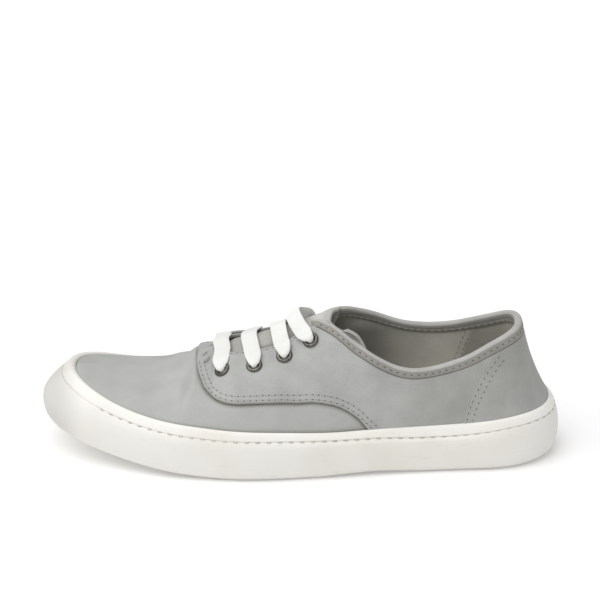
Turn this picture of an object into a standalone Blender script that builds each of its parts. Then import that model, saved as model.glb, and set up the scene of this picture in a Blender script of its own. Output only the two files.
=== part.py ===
"""Low-top lace-up canvas sneaker, left shoe, standing empty on its sole.

Lengths are millimetres and angles degrees. The shoe is first described flat: x runs from the toe tip
back to the heel, y is positive on the medial (inner) side, and n is the height above the sole's
underside. bend() then lifts the forefoot into its toe spring. In the scene the toe points along -X,
the lateral (outer) side faces -Y, and the origin lies on the floor under the middle of the shoe.

A place on the upper has two numbers: around, which runs from the toe tip (0) along the lateral side to
the heel (1) and back along the medial side to the toe (2), and up, which runs from the sole's rim (0)
to the upper's top edge (1).
"""
import bmesh
import bpy
import numpy as np
from mathutils import Matrix

MM = 0.001
SHOE = "low_top_sneaker"
CUTTERS = "eyelet_hole_cutters"


def table(columns, *rows):
    """A short table, as one array for each named column."""
    return dict(zip(columns.split(), np.array(rows, float).T))


# Driving dimensions

LENGTH = 275.0                # toe tip to back of heel
TOE_ROUND = 80.0              # stretch over which the outline rounds off at the toe
HEEL_ROUND = 44.0             # the same at the heel
ROUND_POWER = 2.2             # 2 is an ellipse, more is squarer
SPRING_START = 112.0          # the toe spring begins this far behind the toe tip
SPRING_HEIGHT = 18.0          # and lifts the toe tip by this much
ARCH_START = 145.0            # the waist of the sole clears the floor between these stations
ARCH_END = 205.0
ARCH_HEIGHT = 1.2
ARCH_FADE = 12.0              # height at which the arch no longer shows in the side of the sole
STATIONS = 40                 # sections along each side of the shoe
GAP = 0.3                     # clearance between neighbouring pieces
SHARP_ANGLE = 40.0            # steeper edges are shaded as edges
MERGE_DISTANCE = 1e-5         # metres

CUP_FLOOR = 9.0               # height of the floor inside the cupsole
CUP_LIP_DROP = 0.3            # the rim slopes down this much to its inner edge
INSOLE_THICKNESS = 4.5
INSOLE_EDGE = 1.3             # bevel of its upper edge
INSOLE_INSET = 8.2

WALL = 1.8                    # canvas with its lining
UPPER_INSET = 6.0             # the upper's foot stands this far inside the sole's widest outline
UPPER_TOE_INSET = 6.5         # and further in at the toe and the heel
UPPER_HEEL_INSET = 2.0
FOOT_BELOW_RIM = 0.5
THROAT = 87.0                 # the lacing opening begins here
THROAT_LENGTH = 18.0          # and widens over this length

OVERLAY_GAP = 0.55            # overlays lie this far off the canvas
QUARTER_THICKNESS = 1.0
COUNTER_THICKNESS = 1.5
OVERLAY_FOOT = 0.03           # overlays start just above the sole's rim
REAR_SEAM_BOW = 4.6           # how far the seam between quarter and counter curves forward
REAR_SEAM_GAP = 0.5           # clearance there
BAND_DEPTH = 7.0              # the collar binding reaches this far below the edge
BAND_START = 153.4            # and begins at this station, behind the top eyelet

TONGUE_THICKNESS = 2.5
TONGUE_SHOULDER = 0.9         # height on the wall where the tongue leaves it to arch over the foot
TONGUE_REACH = 11.0           # free length of the tongue past the top eyelet, at its middle
TONGUE_WING = 18.0            # further length towards its side corners
TONGUE_CORNER = 0.5           # share of that length rounded off again at the corners
TONGUE_RISE = 22.0            # slope of the free end at its middle
TONGUE_WING_RISE = 4.0        # and at its corners

EYELET_BORE = 2.2
EYELET_BARREL = 2.7
EYELET_FLANGE = 4.2
FLANGE_HEIGHT = 0.8
FLANGE_EDGE = 0.3             # height of its rim
FLANGE_ROUND = 1.0            # its top is this much smaller than its rim
FLANGE_ROLL = 0.6             # depth of the roll into the bore
EYELET_HOLE = 3.1
EYELET_STEPS = 10
CUTTER_LENGTH = 12.0
LACE_WIDTH = 8.5
LACE_THICKNESS = 1.4
LACE_END_WIDTH = 4.4          # gathered where it enters an eyelet

# Short tables

OUTLINE = table(
    "station centre half_width",
    (0, 6.5, 43.5),
    (40, 5.0, 45.0),
    (80, 1.0, 49.0),
    (110, -0.5, 50.5),
    (150, -3.0, 44.5),
    (185, -2.5, 39.5),
    (225, -0.5, 37.5),
    (275, 0.0, 37.0))

RIM = table(
    "station height",
    (0, 30.0),
    (40, 28.5),
    (90, 27.5),
    (140, 27.0),
    (200, 27.0),
    (275, 30.0))

# The sole's side from its underside to its rim: heights count from the floor, or from the rim where
# from_rim is 1. The sixth to eighth rows are the stitched groove under the rim.
SOLE_SIDE = table(
    "inset from_rim height toe_inset heel_inset",
    (6.0, 0, 0.0, 0.0, 0.0),
    (2.5, 0, 1.0, 0.0, 0.0),
    (0.8, 0, 4.0, 0.0, 0.0),
    (0.0, 0, 9.0, 0.0, 0.0),
    (0.5, 0, 15.0, 1.5, 0.0),
    (1.8, 1, -7.2, 3.0, 1.0),
    (3.0, 1, -6.6, 3.0, 1.0),
    (2.4, 1, -5.8, 3.2, 1.0),
    (3.2, 1, -1.2, 5.5, 1.5),
    (4.4, 1, 0.0, 6.0, 2.0))

# One section of the upper a row: where it stands and where it ends, the half width of the opening
# there, how steeply it leaves the sole and reaches its top edge, how far each slope carries, and how
# much lower the medial edge is.
UPPER = table(
    "foot_x top_x half_gap top_height foot_lean top_lean foot_pull top_pull medial_drop",
    (12.5, 31.0, 0.0, 37.0, 58, 6, 0.30, 0.45, 0.0),
    (30.0, 42.0, 0.0, 39.5, 62, 3, 0.32, 0.45, 0.0),
    (60.0, 65.0, 0.0, 43.5, 66, 0, 0.34, 0.48, 0.0),
    (85.0, 86.0, 12.0, 53.0, 74, 8, 0.36, 0.45, 0.0),
    (102.0, 101.0, 13.0, 56.5, 78, 20, 0.38, 0.42, 0.0),
    (120.0, 119.0, 14.0, 59.5, 82, 28, 0.40, 0.40, 1.0),
    (136.0, 133.0, 13.0, 65.5, 84, 36, 0.40, 0.40, 2.0),
    (148.0, 144.0, 10.5, 72.0, 85, 42, 0.40, 0.40, 2.0),
    (160.0, 154.0, 15.5, 71.5, 86, 55, 0.40, 0.35, -0.5),
    (176.0, 171.0, 26.0, 64.5, 86, 70, 0.35, 0.35, -2.0),
    (200.0, 196.0, 31.0, 56.0, 86, 80, 0.33, 0.33, -1.2),
    (225.0, 219.0, 27.5, 58.5, 84, 82, 0.33, 0.33, 0.5),
    (245.0, 237.0, 23.5, 65.5, 78, 82, 0.33, 0.33, 2.0),
    (258.0, 248.0, 22.5, 69.5, 72, 80, 0.33, 0.33, 1.5),
    (267.0, 253.0, 22.0, 70.5, 68, 78, 0.33, 0.33, 0.0))
UPPER_ROWS = np.array([0, 0.09, 0.19, 0.3, 0.41, 0.52, 0.63, 0.74, 0.84, 0.92, 1.0])
SKIRT_FOOT = CUP_FLOOR + 0.4  # the upper reaches down inside the cupsole to here

# One column of the quarter a row, from its seam on the vamp back to the counter: the foot of the
# column, then its top, which lies some depth below the upper's own edge. Behind BAND_START that depth
# leaves room for the binding. bow curves the last columns towards the seam with the counter.
EDGE = 0.5                    # the panel's edge along the throat
UNDER_BAND = BAND_DEPTH + 2 * GAP
QUARTER = table(
    "foot_x foot_up top_x top_depth bow",
    (79.0, 0.960, 84.0, EDGE, 0),
    (80.6, 0.835, 88.5, EDGE, 0),
    (82.4, 0.690, 91.5, EDGE, 0),
    (84.6, 0.590, 94.5, EDGE, 0),
    (87.6, 0.500, 98.0, EDGE, 0),
    (94.4, 0.388, 103.0, EDGE, 0),
    (104.0, 0.342, 110.0, EDGE, 0),
    (115.5, 0.335, 118.0, EDGE, 0),
    (124.0, 0.325, 126.0, EDGE, 0),
    (133.2, 0.310, 134.0, EDGE, 0),
    (143.9, 0.270, 143.0, EDGE, 0),
    (150.0, 0.245, 148.5, EDGE, 0),
    (154.0, 0.226, 151.6, EDGE, 0),
    (155.0, 0.220, 152.0, UNDER_BAND, 0),
    (163.0, 0.174, 161.0, UNDER_BAND, 0),
    (168.6, 0.123, 170.0, UNDER_BAND, 0),
    (175.5, OVERLAY_FOOT, 179.0, UNDER_BAND, 0),
    (184.0, OVERLAY_FOOT, 188.0, UNDER_BAND, 0),
    (192.0, OVERLAY_FOOT, 197.5, UNDER_BAND, 0),
    (199.0, OVERLAY_FOOT, 207.0, UNDER_BAND, 0.5),
    (205.5, OVERLAY_FOOT, 216.5, UNDER_BAND, 1.2),
    (212.0, OVERLAY_FOOT, 226.5, UNDER_BAND, 2.2),
    (218.0, OVERLAY_FOOT, 236.5, UNDER_BAND, 3.4),
    (223.4, OVERLAY_FOOT, 246.3, UNDER_BAND, REAR_SEAM_BOW))
QUARTER_ROWS = 7
COUNTER_COLUMNS = 16

# Section of the binding, folded over the collar edge: distance out from the canvas face, and depth
# below the edge.
BAND_THICKNESS = 1.0
BAND_GAP = 0.5                # the wall twists under the band, so it stands a little clear
BAND_CROWN = 1.3              # its fold stands this far over the edge
BAND_ROUND = 0.2              # and begins to round off here
OUTER_FACE = BAND_GAP
INNER_FACE = -WALL - BAND_GAP
BAND = table(
    "out depth",
    (OUTER_FACE, BAND_DEPTH),
    (OUTER_FACE + BAND_THICKNESS, BAND_DEPTH),
    (OUTER_FACE + BAND_THICKNESS, BAND_ROUND),
    (OUTER_FACE, -BAND_CROWN),
    (INNER_FACE, -BAND_CROWN),
    (INNER_FACE - BAND_THICKNESS, BAND_ROUND),
    (INNER_FACE - BAND_THICKNESS, BAND_DEPTH),
    (INNER_FACE, BAND_DEPTH),
    (INNER_FACE, -GAP),
    (OUTER_FACE, -GAP))

# The tongue lies inside the wall: depth under its outer face, and where its side edge runs.
TONGUE = table(
    "foot_x depth side_up",
    (80.0, 3.0, 0.66),
    (100.0, 3.0, 0.62),
    (120.0, 3.0, 0.64),
    (136.0, 4.0, 0.68),
    (146.0, 6.6, 0.72))
TONGUE_CREST = table(
    "x height",
    (80.0, 47.0),
    (88.0, 49.0),
    (95.0, 52.0),
    (103.0, 56.8),
    (117.0, 61.5),
    (133.0, 67.5),
    (145.0, 73.0))
TONGUE_STATIONS = 9
TONGUE_FREE_ROWS = 4
TONGUE_FLANK = 4
TONGUE_ARCH = 6

EYELETS = table(
    "foot_x up",
    (98.5, 0.730),
    (116.5, 0.785),
    (133.2, 0.830),
    (147.8, 0.838))
# Outer side first, from its top down; heights count from the canvas face.
FLANGE_FOOT = OVERLAY_GAP + QUARTER_THICKNESS + GAP
FLANGE_TOP = FLANGE_FOOT + FLANGE_HEIGHT
EYELET_PROFILE = (
    (EYELET_FLANGE - FLANGE_ROUND, FLANGE_TOP),
    (EYELET_FLANGE, FLANGE_FOOT + FLANGE_EDGE),
    (EYELET_FLANGE, FLANGE_FOOT),
    (EYELET_BARREL, FLANGE_FOOT),
    (EYELET_BARREL, -WALL - GAP),
    (EYELET_BORE, -WALL - GAP),
    (EYELET_BORE, FLANGE_TOP - FLANGE_ROLL))

# Middle of each lace bar. The last bar is left slack and leans towards the toe.
LACES = table(
    "x height",
    (98.0, 60.4),
    (112.5, 62.6),
    (127.5, 68.6),
    (136.5, 75.0))
LACE_OVER_EYELET = FLANGE_TOP + 0.9
LACE_OVER_EDGE = 2.4          # height over the edge of the throat
LACE_SEGMENTS = 12
LACE_TAPER = 0.22             # share of a bar over which it opens out from the eyelet


# The form of the shoe

def curve(rows, key, column, x):
    """A smooth curve through one column of a table (cubic pieces with shared slopes)."""
    keys, values = rows[key], rows[column]
    slopes = np.gradient(values, keys)
    x = np.clip(x, keys[0], keys[-1])
    i = np.clip(np.searchsorted(keys, x) - 1, 0, len(keys) - 2)
    span = keys[i + 1] - keys[i]
    s = (x - keys[i]) / span
    r = 1 - s
    ends = (1 + 2 * s) * r * r * values[i] + (1 + 2 * r) * s * s * values[i + 1]
    return ends + s * r * span * (r * slopes[i] - s * slopes[i + 1])


def rounding(distance, length):
    """Share of the full width at some distance from a rounded end of the given length."""
    q = np.clip(1 - distance / length, 0, 1)
    return np.maximum(1 - q ** ROUND_POWER, 0) ** (1 / ROUND_POWER)


def fold(around):
    """Split the way around the shoe into its share from toe to heel and its side (-1 lateral)."""
    around = np.mod(around, 2)
    along = np.where(around <= 1, around, 2 - around)
    return along, np.where(around <= 1, -1.0, 1.0)


def outline(around, inset, toe_inset, heel_inset):
    """A ring inside the sole's widest outline, seen from above."""
    along, side = fold(around)
    front = inset + toe_inset
    back = LENGTH - inset - heel_inset
    x = front + (back - front) * (1 - np.cos(np.pi * along)) / 2
    half = curve(OUTLINE, "station", "half_width", x) - inset
    half = half * rounding(x - front, TOE_ROUND - front)
    half = half * rounding(back - x, HEEL_ROUND - LENGTH + back)
    return x, curve(OUTLINE, "station", "centre", x) + side * half


def around_at(foot_x):
    """The place around the shoe, on the lateral side, where the upper's foot is at this station."""
    front = UPPER_INSET + UPPER_TOE_INSET
    back = LENGTH - UPPER_INSET - UPPER_HEEL_INSET
    return np.arccos(1 - 2 * (np.asarray(foot_x) - front) / (back - front)) / np.pi


def bend(x, y, n):
    """Roll the forefoot up on an arc, so that the toe tip rises by SPRING_HEIGHT."""
    rate = 2 * SPRING_HEIGHT / SPRING_START ** 2
    angle = rate * np.maximum(SPRING_START - x, 0)
    flat_x = np.where(x < SPRING_START, SPRING_START - np.sin(angle) / rate, x)
    lift = (1 - np.cos(angle)) / rate
    return np.stack(np.broadcast_arrays(flat_x + n * np.sin(angle), y, lift + n * np.cos(angle)), -1)


def arch(x, n):
    """How far the waist of the sole is lifted, fading out up its side."""
    share = np.clip((x - ARCH_START) / (ARCH_END - ARCH_START), 0, 1)
    return ARCH_HEIGHT * np.sin(np.pi * share) ** 2 * np.clip(1 - n / ARCH_FADE, 0, 1)


def wall(around, up):
    """The upper's outer face: each section is one cubic curve in a vertical plane."""
    around, up = np.broadcast_arrays(np.asarray(around, float), np.asarray(up, float))
    _, side = fold(around)
    foot_x, foot_y = outline(around, UPPER_INSET, UPPER_TOE_INSET, UPPER_HEEL_INSET)
    foot_n = curve(RIM, "station", "height", foot_x) - FOOT_BELOW_RIM
    row = {name: curve(UPPER, "foot_x", name, foot_x) for name in UPPER if name != "foot_x"}
    back = UPPER["foot_x"][-1]
    half = row["half_gap"] * rounding(back - foot_x, HEEL_ROUND - UPPER_INSET - UPPER_HEEL_INSET)
    half = half * np.sin(np.pi / 2 * np.clip((row["top_x"] - THROAT) / THROAT_LENGTH, 0, 1))
    top_y = curve(OUTLINE, "station", "centre", row["top_x"]) + side * half
    top_n = row["top_height"] - np.where(side > 0, row["medial_drop"], 0)

    dx, dy, rise = row["top_x"] - foot_x, top_y - foot_y, top_n - foot_n
    run = np.hypot(dx, dy)
    foot_lean, top_lean = np.radians(row["foot_lean"]), np.radians(row["top_lean"])
    foot_pull = row["foot_pull"] * rise
    top_pull = row["top_pull"] * (run * np.cos(top_lean) + rise * np.sin(top_lean))
    one, two, three = 3 * up * (1 - up) ** 2, 3 * up ** 2 * (1 - up), up ** 3
    inward = one * foot_pull * np.cos(foot_lean) + two * (run - top_pull * np.cos(top_lean)) + three * run
    height = one * foot_pull * np.sin(foot_lean) + two * (rise - top_pull * np.sin(top_lean)) + three * rise
    return bend(foot_x + dx * inward / run, foot_y + dy * inward / run, foot_n + height)


def unit(vectors):
    """The same directions with length 1."""
    return vectors / np.linalg.norm(vectors, axis=-1, keepdims=True)


def wall_directions(around, up):
    """Directions on the wall: up along it, and straight out of it."""
    step = 1e-3
    along = wall(around + step, up) - wall(around - step, up)
    upward = wall(around, up + step) - wall(around, up - step)
    return unit(upward), unit(np.cross(along, upward))


def skin(around, up, out):
    """A point some distance out from the upper's outer face."""
    around, up = np.broadcast_arrays(np.asarray(around, float), np.asarray(up, float))
    return wall(around, up) + wall_directions(around, up)[1] * np.asarray(out)[..., None]


def up_at_depth(around, depth):
    """The height on the wall that lies some depth below its top edge, measured along the wall."""
    heights = np.linspace(1, 0, 81)

    def one(place, below):
        path = wall(place, heights)
        lengths = np.append(0, np.cumsum(np.linalg.norm(np.diff(path, axis=0), axis=1)))
        return np.interp(below, lengths, heights)

    return np.vectorize(one)(around, depth)


# Meshes and materials

RING = np.arange(2 * STATIONS) / STATIONS


def ring(inset, height, toe_inset, heel_inset):
    """One ring of points around the sole or the upper's foot."""
    x, y = outline(RING, inset, toe_inset, heel_inset)
    return bend(x, y, height + arch(x, np.asarray(height)))


def rim_height(inset, toe_inset, heel_inset):
    """Height of the sole's rim along a ring."""
    x, _ = outline(RING, inset, toe_inset, heel_inset)
    return curve(RIM, "station", "height", x)


def linear(red, green, blue):
    """Screen colour values as the linear ones that a shader takes."""
    value = np.array([red, green, blue]) / 255
    return tuple(np.where(value <= 0.04045, value / 12.92, ((value + 0.055) / 1.055) ** 2.4)) + (1.0,)


def material(name, colour, roughness, metallic=0.0):
    """A plain surface of one screen colour."""
    made = bpy.data.materials.new(name)
    made.use_nodes = True
    shader = made.node_tree.nodes["Principled BSDF"]
    shader.inputs["Base Color"].default_value = linear(*colour)
    shader.inputs["Roughness"].default_value = roughness
    shader.inputs["Metallic"].default_value = metallic
    made.diffuse_color = linear(*colour)
    return made


def grid_faces(rows, columns, closed):
    """Faces of a grid whose rows run along the shoe and whose columns run up it, facing out."""
    last = rows if closed else rows - 1
    index = np.arange(rows * columns).reshape(rows, columns)
    faces = []
    for i in range(last):
        here, there = index[i], index[(i + 1) % rows]
        for j in range(columns - 1):
            faces.append((here[j], there[j], there[j + 1], here[j + 1]))
    return faces


def cap_faces(loop, facing_up):
    """Close a ring around the shoe with strips across it, from the toe to the heel."""
    strips = []
    for j in range(STATIONS):
        strip = [loop[j], loop[j + 1], loop[-j - 1], loop[-j % len(loop)]]
        strips.append(tuple(dict.fromkeys(strip)))
    return strips if facing_up else [strip[::-1] for strip in strips]


def new_object(name, points, faces, finish, origin, merge=False):
    """A mesh object from points in millimetres, in the shoe's collection."""
    mesh = bpy.data.meshes.new(name)
    placed = (points.reshape(-1, 3) - origin) * MM
    mesh.from_pydata(placed.tolist(), [], [tuple(int(k) for k in face) for face in faces])
    mesh.materials.append(finish)
    if merge:
        merge_doubles(mesh)
    mesh.shade_smooth()
    mesh.set_sharp_from_angle(angle=np.radians(SHARP_ANGLE))
    made = bpy.data.objects.new(name, mesh)
    bpy.data.collections[SHOE].objects.link(made)
    return made


def merge_doubles(mesh):
    """Join points that fall together, such as the two sides of the vamp on its ridge."""
    work = bmesh.new()
    work.from_mesh(mesh)
    bmesh.ops.remove_doubles(work, verts=work.verts, dist=MERGE_DISTANCE)
    work.to_mesh(mesh)
    work.free()


def thicken(made, thickness, offset):
    """Give an open surface its thickness: inwards (-1), outwards (1)."""
    solid = made.modifiers.new("thickness", "SOLIDIFY")
    solid.thickness = thickness * MM
    solid.offset = offset
    solid.use_even_offset = True
    solid.use_rim = True


def closed_rings(name, rings, finish, origin):
    """A solid from rings that run up its outside, and down its inside if it is a cup."""
    points = np.stack(rings, 1)
    count = len(rings)
    faces = grid_faces(2 * STATIONS, count, closed=True)
    faces += cap_faces(np.arange(2 * STATIONS) * count, facing_up=False)
    faces += cap_faces(np.arange(2 * STATIONS) * count + count - 1, facing_up=True)
    return new_object(name, points, faces, finish, origin)


# The pieces

def sole_rings():
    """The cupsole's rings: up its side, over the rim, and down the inside to the floor."""
    rings = []
    for inset, from_rim, height, toe, heel in zip(*SOLE_SIDE.values()):
        base = rim_height(inset, toe, heel) if from_rim else 0
        rings.append(ring(inset, base + height, toe, heel))
    inside = (UPPER_INSET - GAP, UPPER_TOE_INSET, UPPER_HEEL_INSET)
    rings.append(ring(inside[0], rim_height(*inside) - CUP_LIP_DROP, *inside[1:]))
    rings.append(ring(inside[0], CUP_FLOOR, *inside[1:]))
    return rings


def make_insole(finish, origin):
    """A pad on the floor of the cupsole, bevelled along its upper edge."""
    ends = (UPPER_TOE_INSET, UPPER_HEEL_INSET)
    foot = CUP_FLOOR + GAP
    top = foot + INSOLE_THICKNESS
    rings = [
        ring(INSOLE_INSET, foot, *ends),
        ring(INSOLE_INSET, top - INSOLE_EDGE, *ends),
        ring(INSOLE_INSET + INSOLE_EDGE, top, *ends)]
    closed_rings("insole", rings, finish, origin)


def make_upper(finish, origin):
    """The canvas shell: a skirt inside the cupsole, then the wall up to ridge, throat and collar."""
    skirt = ring(UPPER_INSET, SKIRT_FOOT, UPPER_TOE_INSET, UPPER_HEEL_INSET)
    rows = [skirt] + [wall(RING, np.full(RING.shape, up)) for up in UPPER_ROWS]
    faces = grid_faces(2 * STATIONS, len(rows), closed=True)
    made = new_object("upper", np.stack(rows, 1), faces, finish, origin, merge=True)
    thicken(made, WALL, -1)
    return made


def seam_column(foot_x, foot_up, top_x, top_depth, bow, rows):
    """Places up one column of an overlay, from its foot to its top."""
    share = np.linspace(0, 1, rows)
    around = around_at(foot_x + (top_x - foot_x) * share - bow * 4 * share * (1 - share))
    top_up = up_at_depth(around[-1], top_depth)
    return around, foot_up + (top_up - foot_up) * share


def make_quarter(side, finish, origin):
    """A side panel with its row of eyelets, from the vamp seam to the counter."""
    columns = [seam_column(*row, QUARTER_ROWS) for row in zip(*QUARTER.values())]
    around = np.array([column[0] for column in columns])
    up = np.array([column[1] for column in columns])
    if side == "medial":
        around, up = 2 - around[::-1], up[::-1]
    points = skin(around, up, np.full(up.shape, OVERLAY_GAP))
    made = new_object("quarter_" + side, points, grid_faces(*up.shape, closed=False), finish, origin)
    thicken(made, QUARTER_THICKNESS, 1)
    return made


def make_counter(finish, origin):
    """The heel panel, from one quarter's rear seam around the heel to the other's."""
    seam = [QUARTER[name][-1] for name in QUARTER]
    seam[0] += REAR_SEAM_GAP
    seam[2] += REAR_SEAM_GAP
    start, _ = seam_column(*seam, QUARTER_ROWS)
    share = np.linspace(0, 1, COUNTER_COLUMNS)[:, None]
    around = start + (2 - 2 * start) * share
    top_up = up_at_depth(around[:, -1], UNDER_BAND)[:, None]
    up = OVERLAY_FOOT + (top_up - OVERLAY_FOOT) * np.linspace(0, 1, QUARTER_ROWS)
    points = skin(around, up, np.full(up.shape, OVERLAY_GAP))
    made = new_object("heel_counter", points, grid_faces(*up.shape, closed=False), finish, origin)
    thicken(made, COUNTER_THICKNESS, 1)


def make_binding(finish, origin):
    """The band folded over the collar edge, from one top eyelet around the heel to the other."""
    start = around_at(BAND_START)
    around = np.concatenate([[start], RING[(RING > start) & (RING < 2 - start)], [2 - start]])[:, None]
    depth = np.maximum(BAND["depth"], 0)
    up = up_at_depth(*np.broadcast_arrays(around, depth))
    points = skin(around, up, np.broadcast_to(BAND["out"], up.shape))
    upward, _ = wall_directions(np.broadcast_to(around, up.shape), up)
    points = points + upward * np.maximum(-BAND["depth"], 0)[:, None]
    count = len(depth)
    looped = np.concatenate([points, points[:, :1]], 1)
    faces = grid_faces(len(around), count + 1, closed=False)
    first = np.arange(count)
    last = first + (len(around) - 1) * (count + 1)
    faces += [tuple(first), tuple(last[::-1])]
    new_object("collar_binding", looped, faces, finish, origin, merge=True)


def make_tongue(finish, origin):
    """Flanks inside the wall, an arch over the foot between them, and a free end past the laces."""
    foot_x = np.linspace(TONGUE["foot_x"][0], TONGUE["foot_x"][-1], TONGUE_STATIONS)[:, None]
    around = around_at(foot_x)
    depth = curve(TONGUE, "foot_x", "depth", foot_x)
    side_up = curve(TONGUE, "foot_x", "side_up", foot_x)
    up = side_up + (TONGUE_SHOULDER - side_up) * np.linspace(0, 1, TONGUE_FLANK)
    lateral = skin(around, up, np.broadcast_to(-depth, up.shape))
    medial = skin(2 - around, up, np.broadcast_to(-depth, up.shape))[:, ::-1]
    share = np.linspace(0, 1, TONGUE_ARCH + 2)[None, 1:-1, None]
    bridge = lateral[:, -1:] * (1 - share) + medial[:, :1] * share
    middle = (lateral[:, -1] + medial[:, 0]) / 2
    crown = curve(TONGUE_CREST, "x", "height", middle[:, 0]) - middle[:, 2]
    bridge[..., 2] += crown[:, None] * (1 - (2 * share[..., 0] - 1) ** 2)
    body = np.concatenate([lateral, bridge, medial], 1)

    across = np.abs(np.linspace(-1, 1, body.shape[1]))
    slope = np.radians(TONGUE_RISE + (TONGUE_WING_RISE - TONGUE_RISE) * across)
    heading = np.stack([np.cos(slope), np.zeros_like(slope), np.sin(slope)], -1)
    reach = (TONGUE_REACH + TONGUE_WING * across ** 2 * (1 - TONGUE_CORNER * across ** 6))[:, None]
    steps = np.arange(1, TONGUE_FREE_ROWS + 1) / TONGUE_FREE_ROWS
    free = [body[-1] + heading * reach * step for step in steps]
    sheet = np.concatenate([body, np.stack(free)], 0)
    made = new_object("tongue", sheet, grid_faces(*sheet.shape[:2], closed=False), finish, origin)
    thicken(made, TONGUE_THICKNESS, -1)


def eyelet_places(side):
    """Places of one side's eyelets, from the toe end back."""
    around = around_at(EYELETS["foot_x"])
    return (2 - around if side == "medial" else around), EYELETS["up"]


def frame_on_wall(around, up, origin):
    """A placing whose Z axis points straight out of the wall."""
    upward, out = wall_directions(around, up)
    axes = np.eye(4)
    axes[:3, :3] = np.stack([np.cross(upward, out), upward, out], 1)
    axes[:3, 3] = (wall(around, up) - origin) * MM
    return Matrix(axes.tolist())


def make_eyelets(side, panels, finish, origin):
    """Metal eyelets, each a turned profile, and the holes that they pass through."""
    profile = bpy.data.meshes.new("eyelet_profile")
    count = len(EYELET_PROFILE)
    loop = [(k, (k + 1) % count) for k in range(count)]
    profile.from_pydata([(r * MM, 0, z * MM) for r, z in EYELET_PROFILE], loop, [])
    profile.materials.append(finish)
    for number, (around, up) in enumerate(zip(*eyelet_places(side)), 1):
        place = frame_on_wall(around, up, origin)
        eyelet = bpy.data.objects.new(f"eyelet_{side}_{number}", profile)
        bpy.data.collections[SHOE].objects.link(eyelet)
        eyelet.matrix_world = place
        turn = eyelet.modifiers.new("turn", "SCREW")
        turn.steps = turn.render_steps = EYELET_STEPS
        turn.use_merge_vertices = True
        turn.merge_threshold = MERGE_DISTANCE
        turn.use_smooth_shade = True
        cutter = new_cutter(f"hole_{side}_{number}", place)
        for panel in panels:
            cut = panel.modifiers.new(cutter.name, "BOOLEAN")
            cut.object = cutter
            cut.solver = "EXACT"


def new_cutter(name, place):
    """A short cylinder through the wall, kept out of the render."""
    size = {"radius": EYELET_HOLE * MM, "depth": CUTTER_LENGTH * MM}
    bpy.ops.mesh.primitive_cylinder_add(vertices=EYELET_STEPS, **size)
    cutter = bpy.context.object
    cutter.name = name
    cutter.matrix_world = place
    cutter.hide_render = True
    cutter.display_type = "WIRE"
    for holder in cutter.users_collection:
        holder.objects.unlink(cutter)
    bpy.data.collections[CUTTERS].objects.link(cutter)
    return cutter


def make_laces(finish, origin):
    """Four bars of flat lace, each from over one eyelet across the tongue to over the other."""
    ends = []
    for side in ("lateral", "medial"):
        around, up = eyelet_places(side)
        over_edge = wall(around, np.ones_like(up))
        over_edge[:, 2] += LACE_OVER_EDGE
        ends.append((skin(around, up, np.full(up.shape, LACE_OVER_EYELET)), over_edge))
    (left, left_edge), (right, right_edge) = ends
    row_direction = unit(np.gradient(left + right, axis=0))
    share = np.linspace(0, 1, LACE_SEGMENTS + 1)
    for k, (x, height) in enumerate(zip(*LACES.values())):
        crest = np.array([x, (left_edge[k, 1] + right_edge[k, 1]) / 2, height])
        near, far = left_edge[k].copy(), right_edge[k].copy()
        near[0] += (x - near[0]) / 2
        far[0] += (x - far[0]) / 2
        stops = np.stack([left[k], near, crest, far, right[k]])
        lengths = np.append(0, np.cumsum(np.linalg.norm(np.diff(stops, axis=0), axis=1)))
        route = {"share": lengths / lengths[-1], "x": stops[:, 0], "y": stops[:, 1], "z": stops[:, 2]}
        path = np.stack([curve(route, "share", axis, share) for axis in "xyz"], -1)
        opening = np.clip(np.minimum(share, 1 - share) / LACE_TAPER, 0, 1)
        opening = opening * opening * (3 - 2 * opening)
        half = (LACE_END_WIDTH + (LACE_WIDTH - LACE_END_WIDTH) * opening) / 2
        across = row_direction[k] * half[:, None]
        sheet = np.stack([path - across, path, path + across], 1)
        faces = [face[::-1] for face in grid_faces(*sheet.shape[:2], closed=False)]
        made = new_object(f"lace_bar_{k + 1}", sheet, faces, finish, origin)
        thicken(made, LACE_THICKNESS, 1)


def main():
    """Clear the scene, then make each piece in turn."""
    for old in list(bpy.data.objects):
        bpy.data.objects.remove(old, do_unlink=True)
    for name in (SHOE, CUTTERS):
        bpy.context.scene.collection.children.link(bpy.data.collections.new(name))

    rubber = material("offwhite_rubber", (231, 228, 219), 0.55)
    canvas = material("grey_canvas", (184, 185, 182), 0.9)
    panel = material("grey_canvas_panel", (178, 179, 176), 0.9)
    binding = material("grey_binding_tape", (166, 165, 161), 0.85)
    lining = material("dark_grey_lining", (110, 108, 103), 0.95)
    webbing = material("white_lace_cotton", (236, 236, 233), 0.85)
    nickel = material("dark_nickel", (120, 118, 112), 0.35, 1.0)

    rings = sole_rings()
    corners = np.concatenate(rings)
    middle = (corners.min(0) + corners.max(0)) / 2
    origin = np.array([middle[0], middle[1], 0])

    closed_rings("cupsole", rings, rubber, origin)
    make_insole(lining, origin)
    upper = make_upper(canvas, origin)
    make_tongue(canvas, origin)
    make_counter(panel, origin)
    make_binding(binding, origin)
    for side in ("lateral", "medial"):
        quarter = make_quarter(side, panel, origin)
        make_eyelets(side, (upper, quarter), nickel, origin)
    make_laces(webbing, origin)


main()
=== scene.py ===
"""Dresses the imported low-top sneaker: sole, upper, side panels, collar binding, tongue, eyelets and lace.

Every surface is worked out in the shoe's own frame in millimetres, with the toe tip at x 0, the heel at x 275
and the lateral side at negative y. ShoeForm.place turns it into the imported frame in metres.
"""

import logging
from dataclasses import dataclass, replace
from enum import Enum

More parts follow.
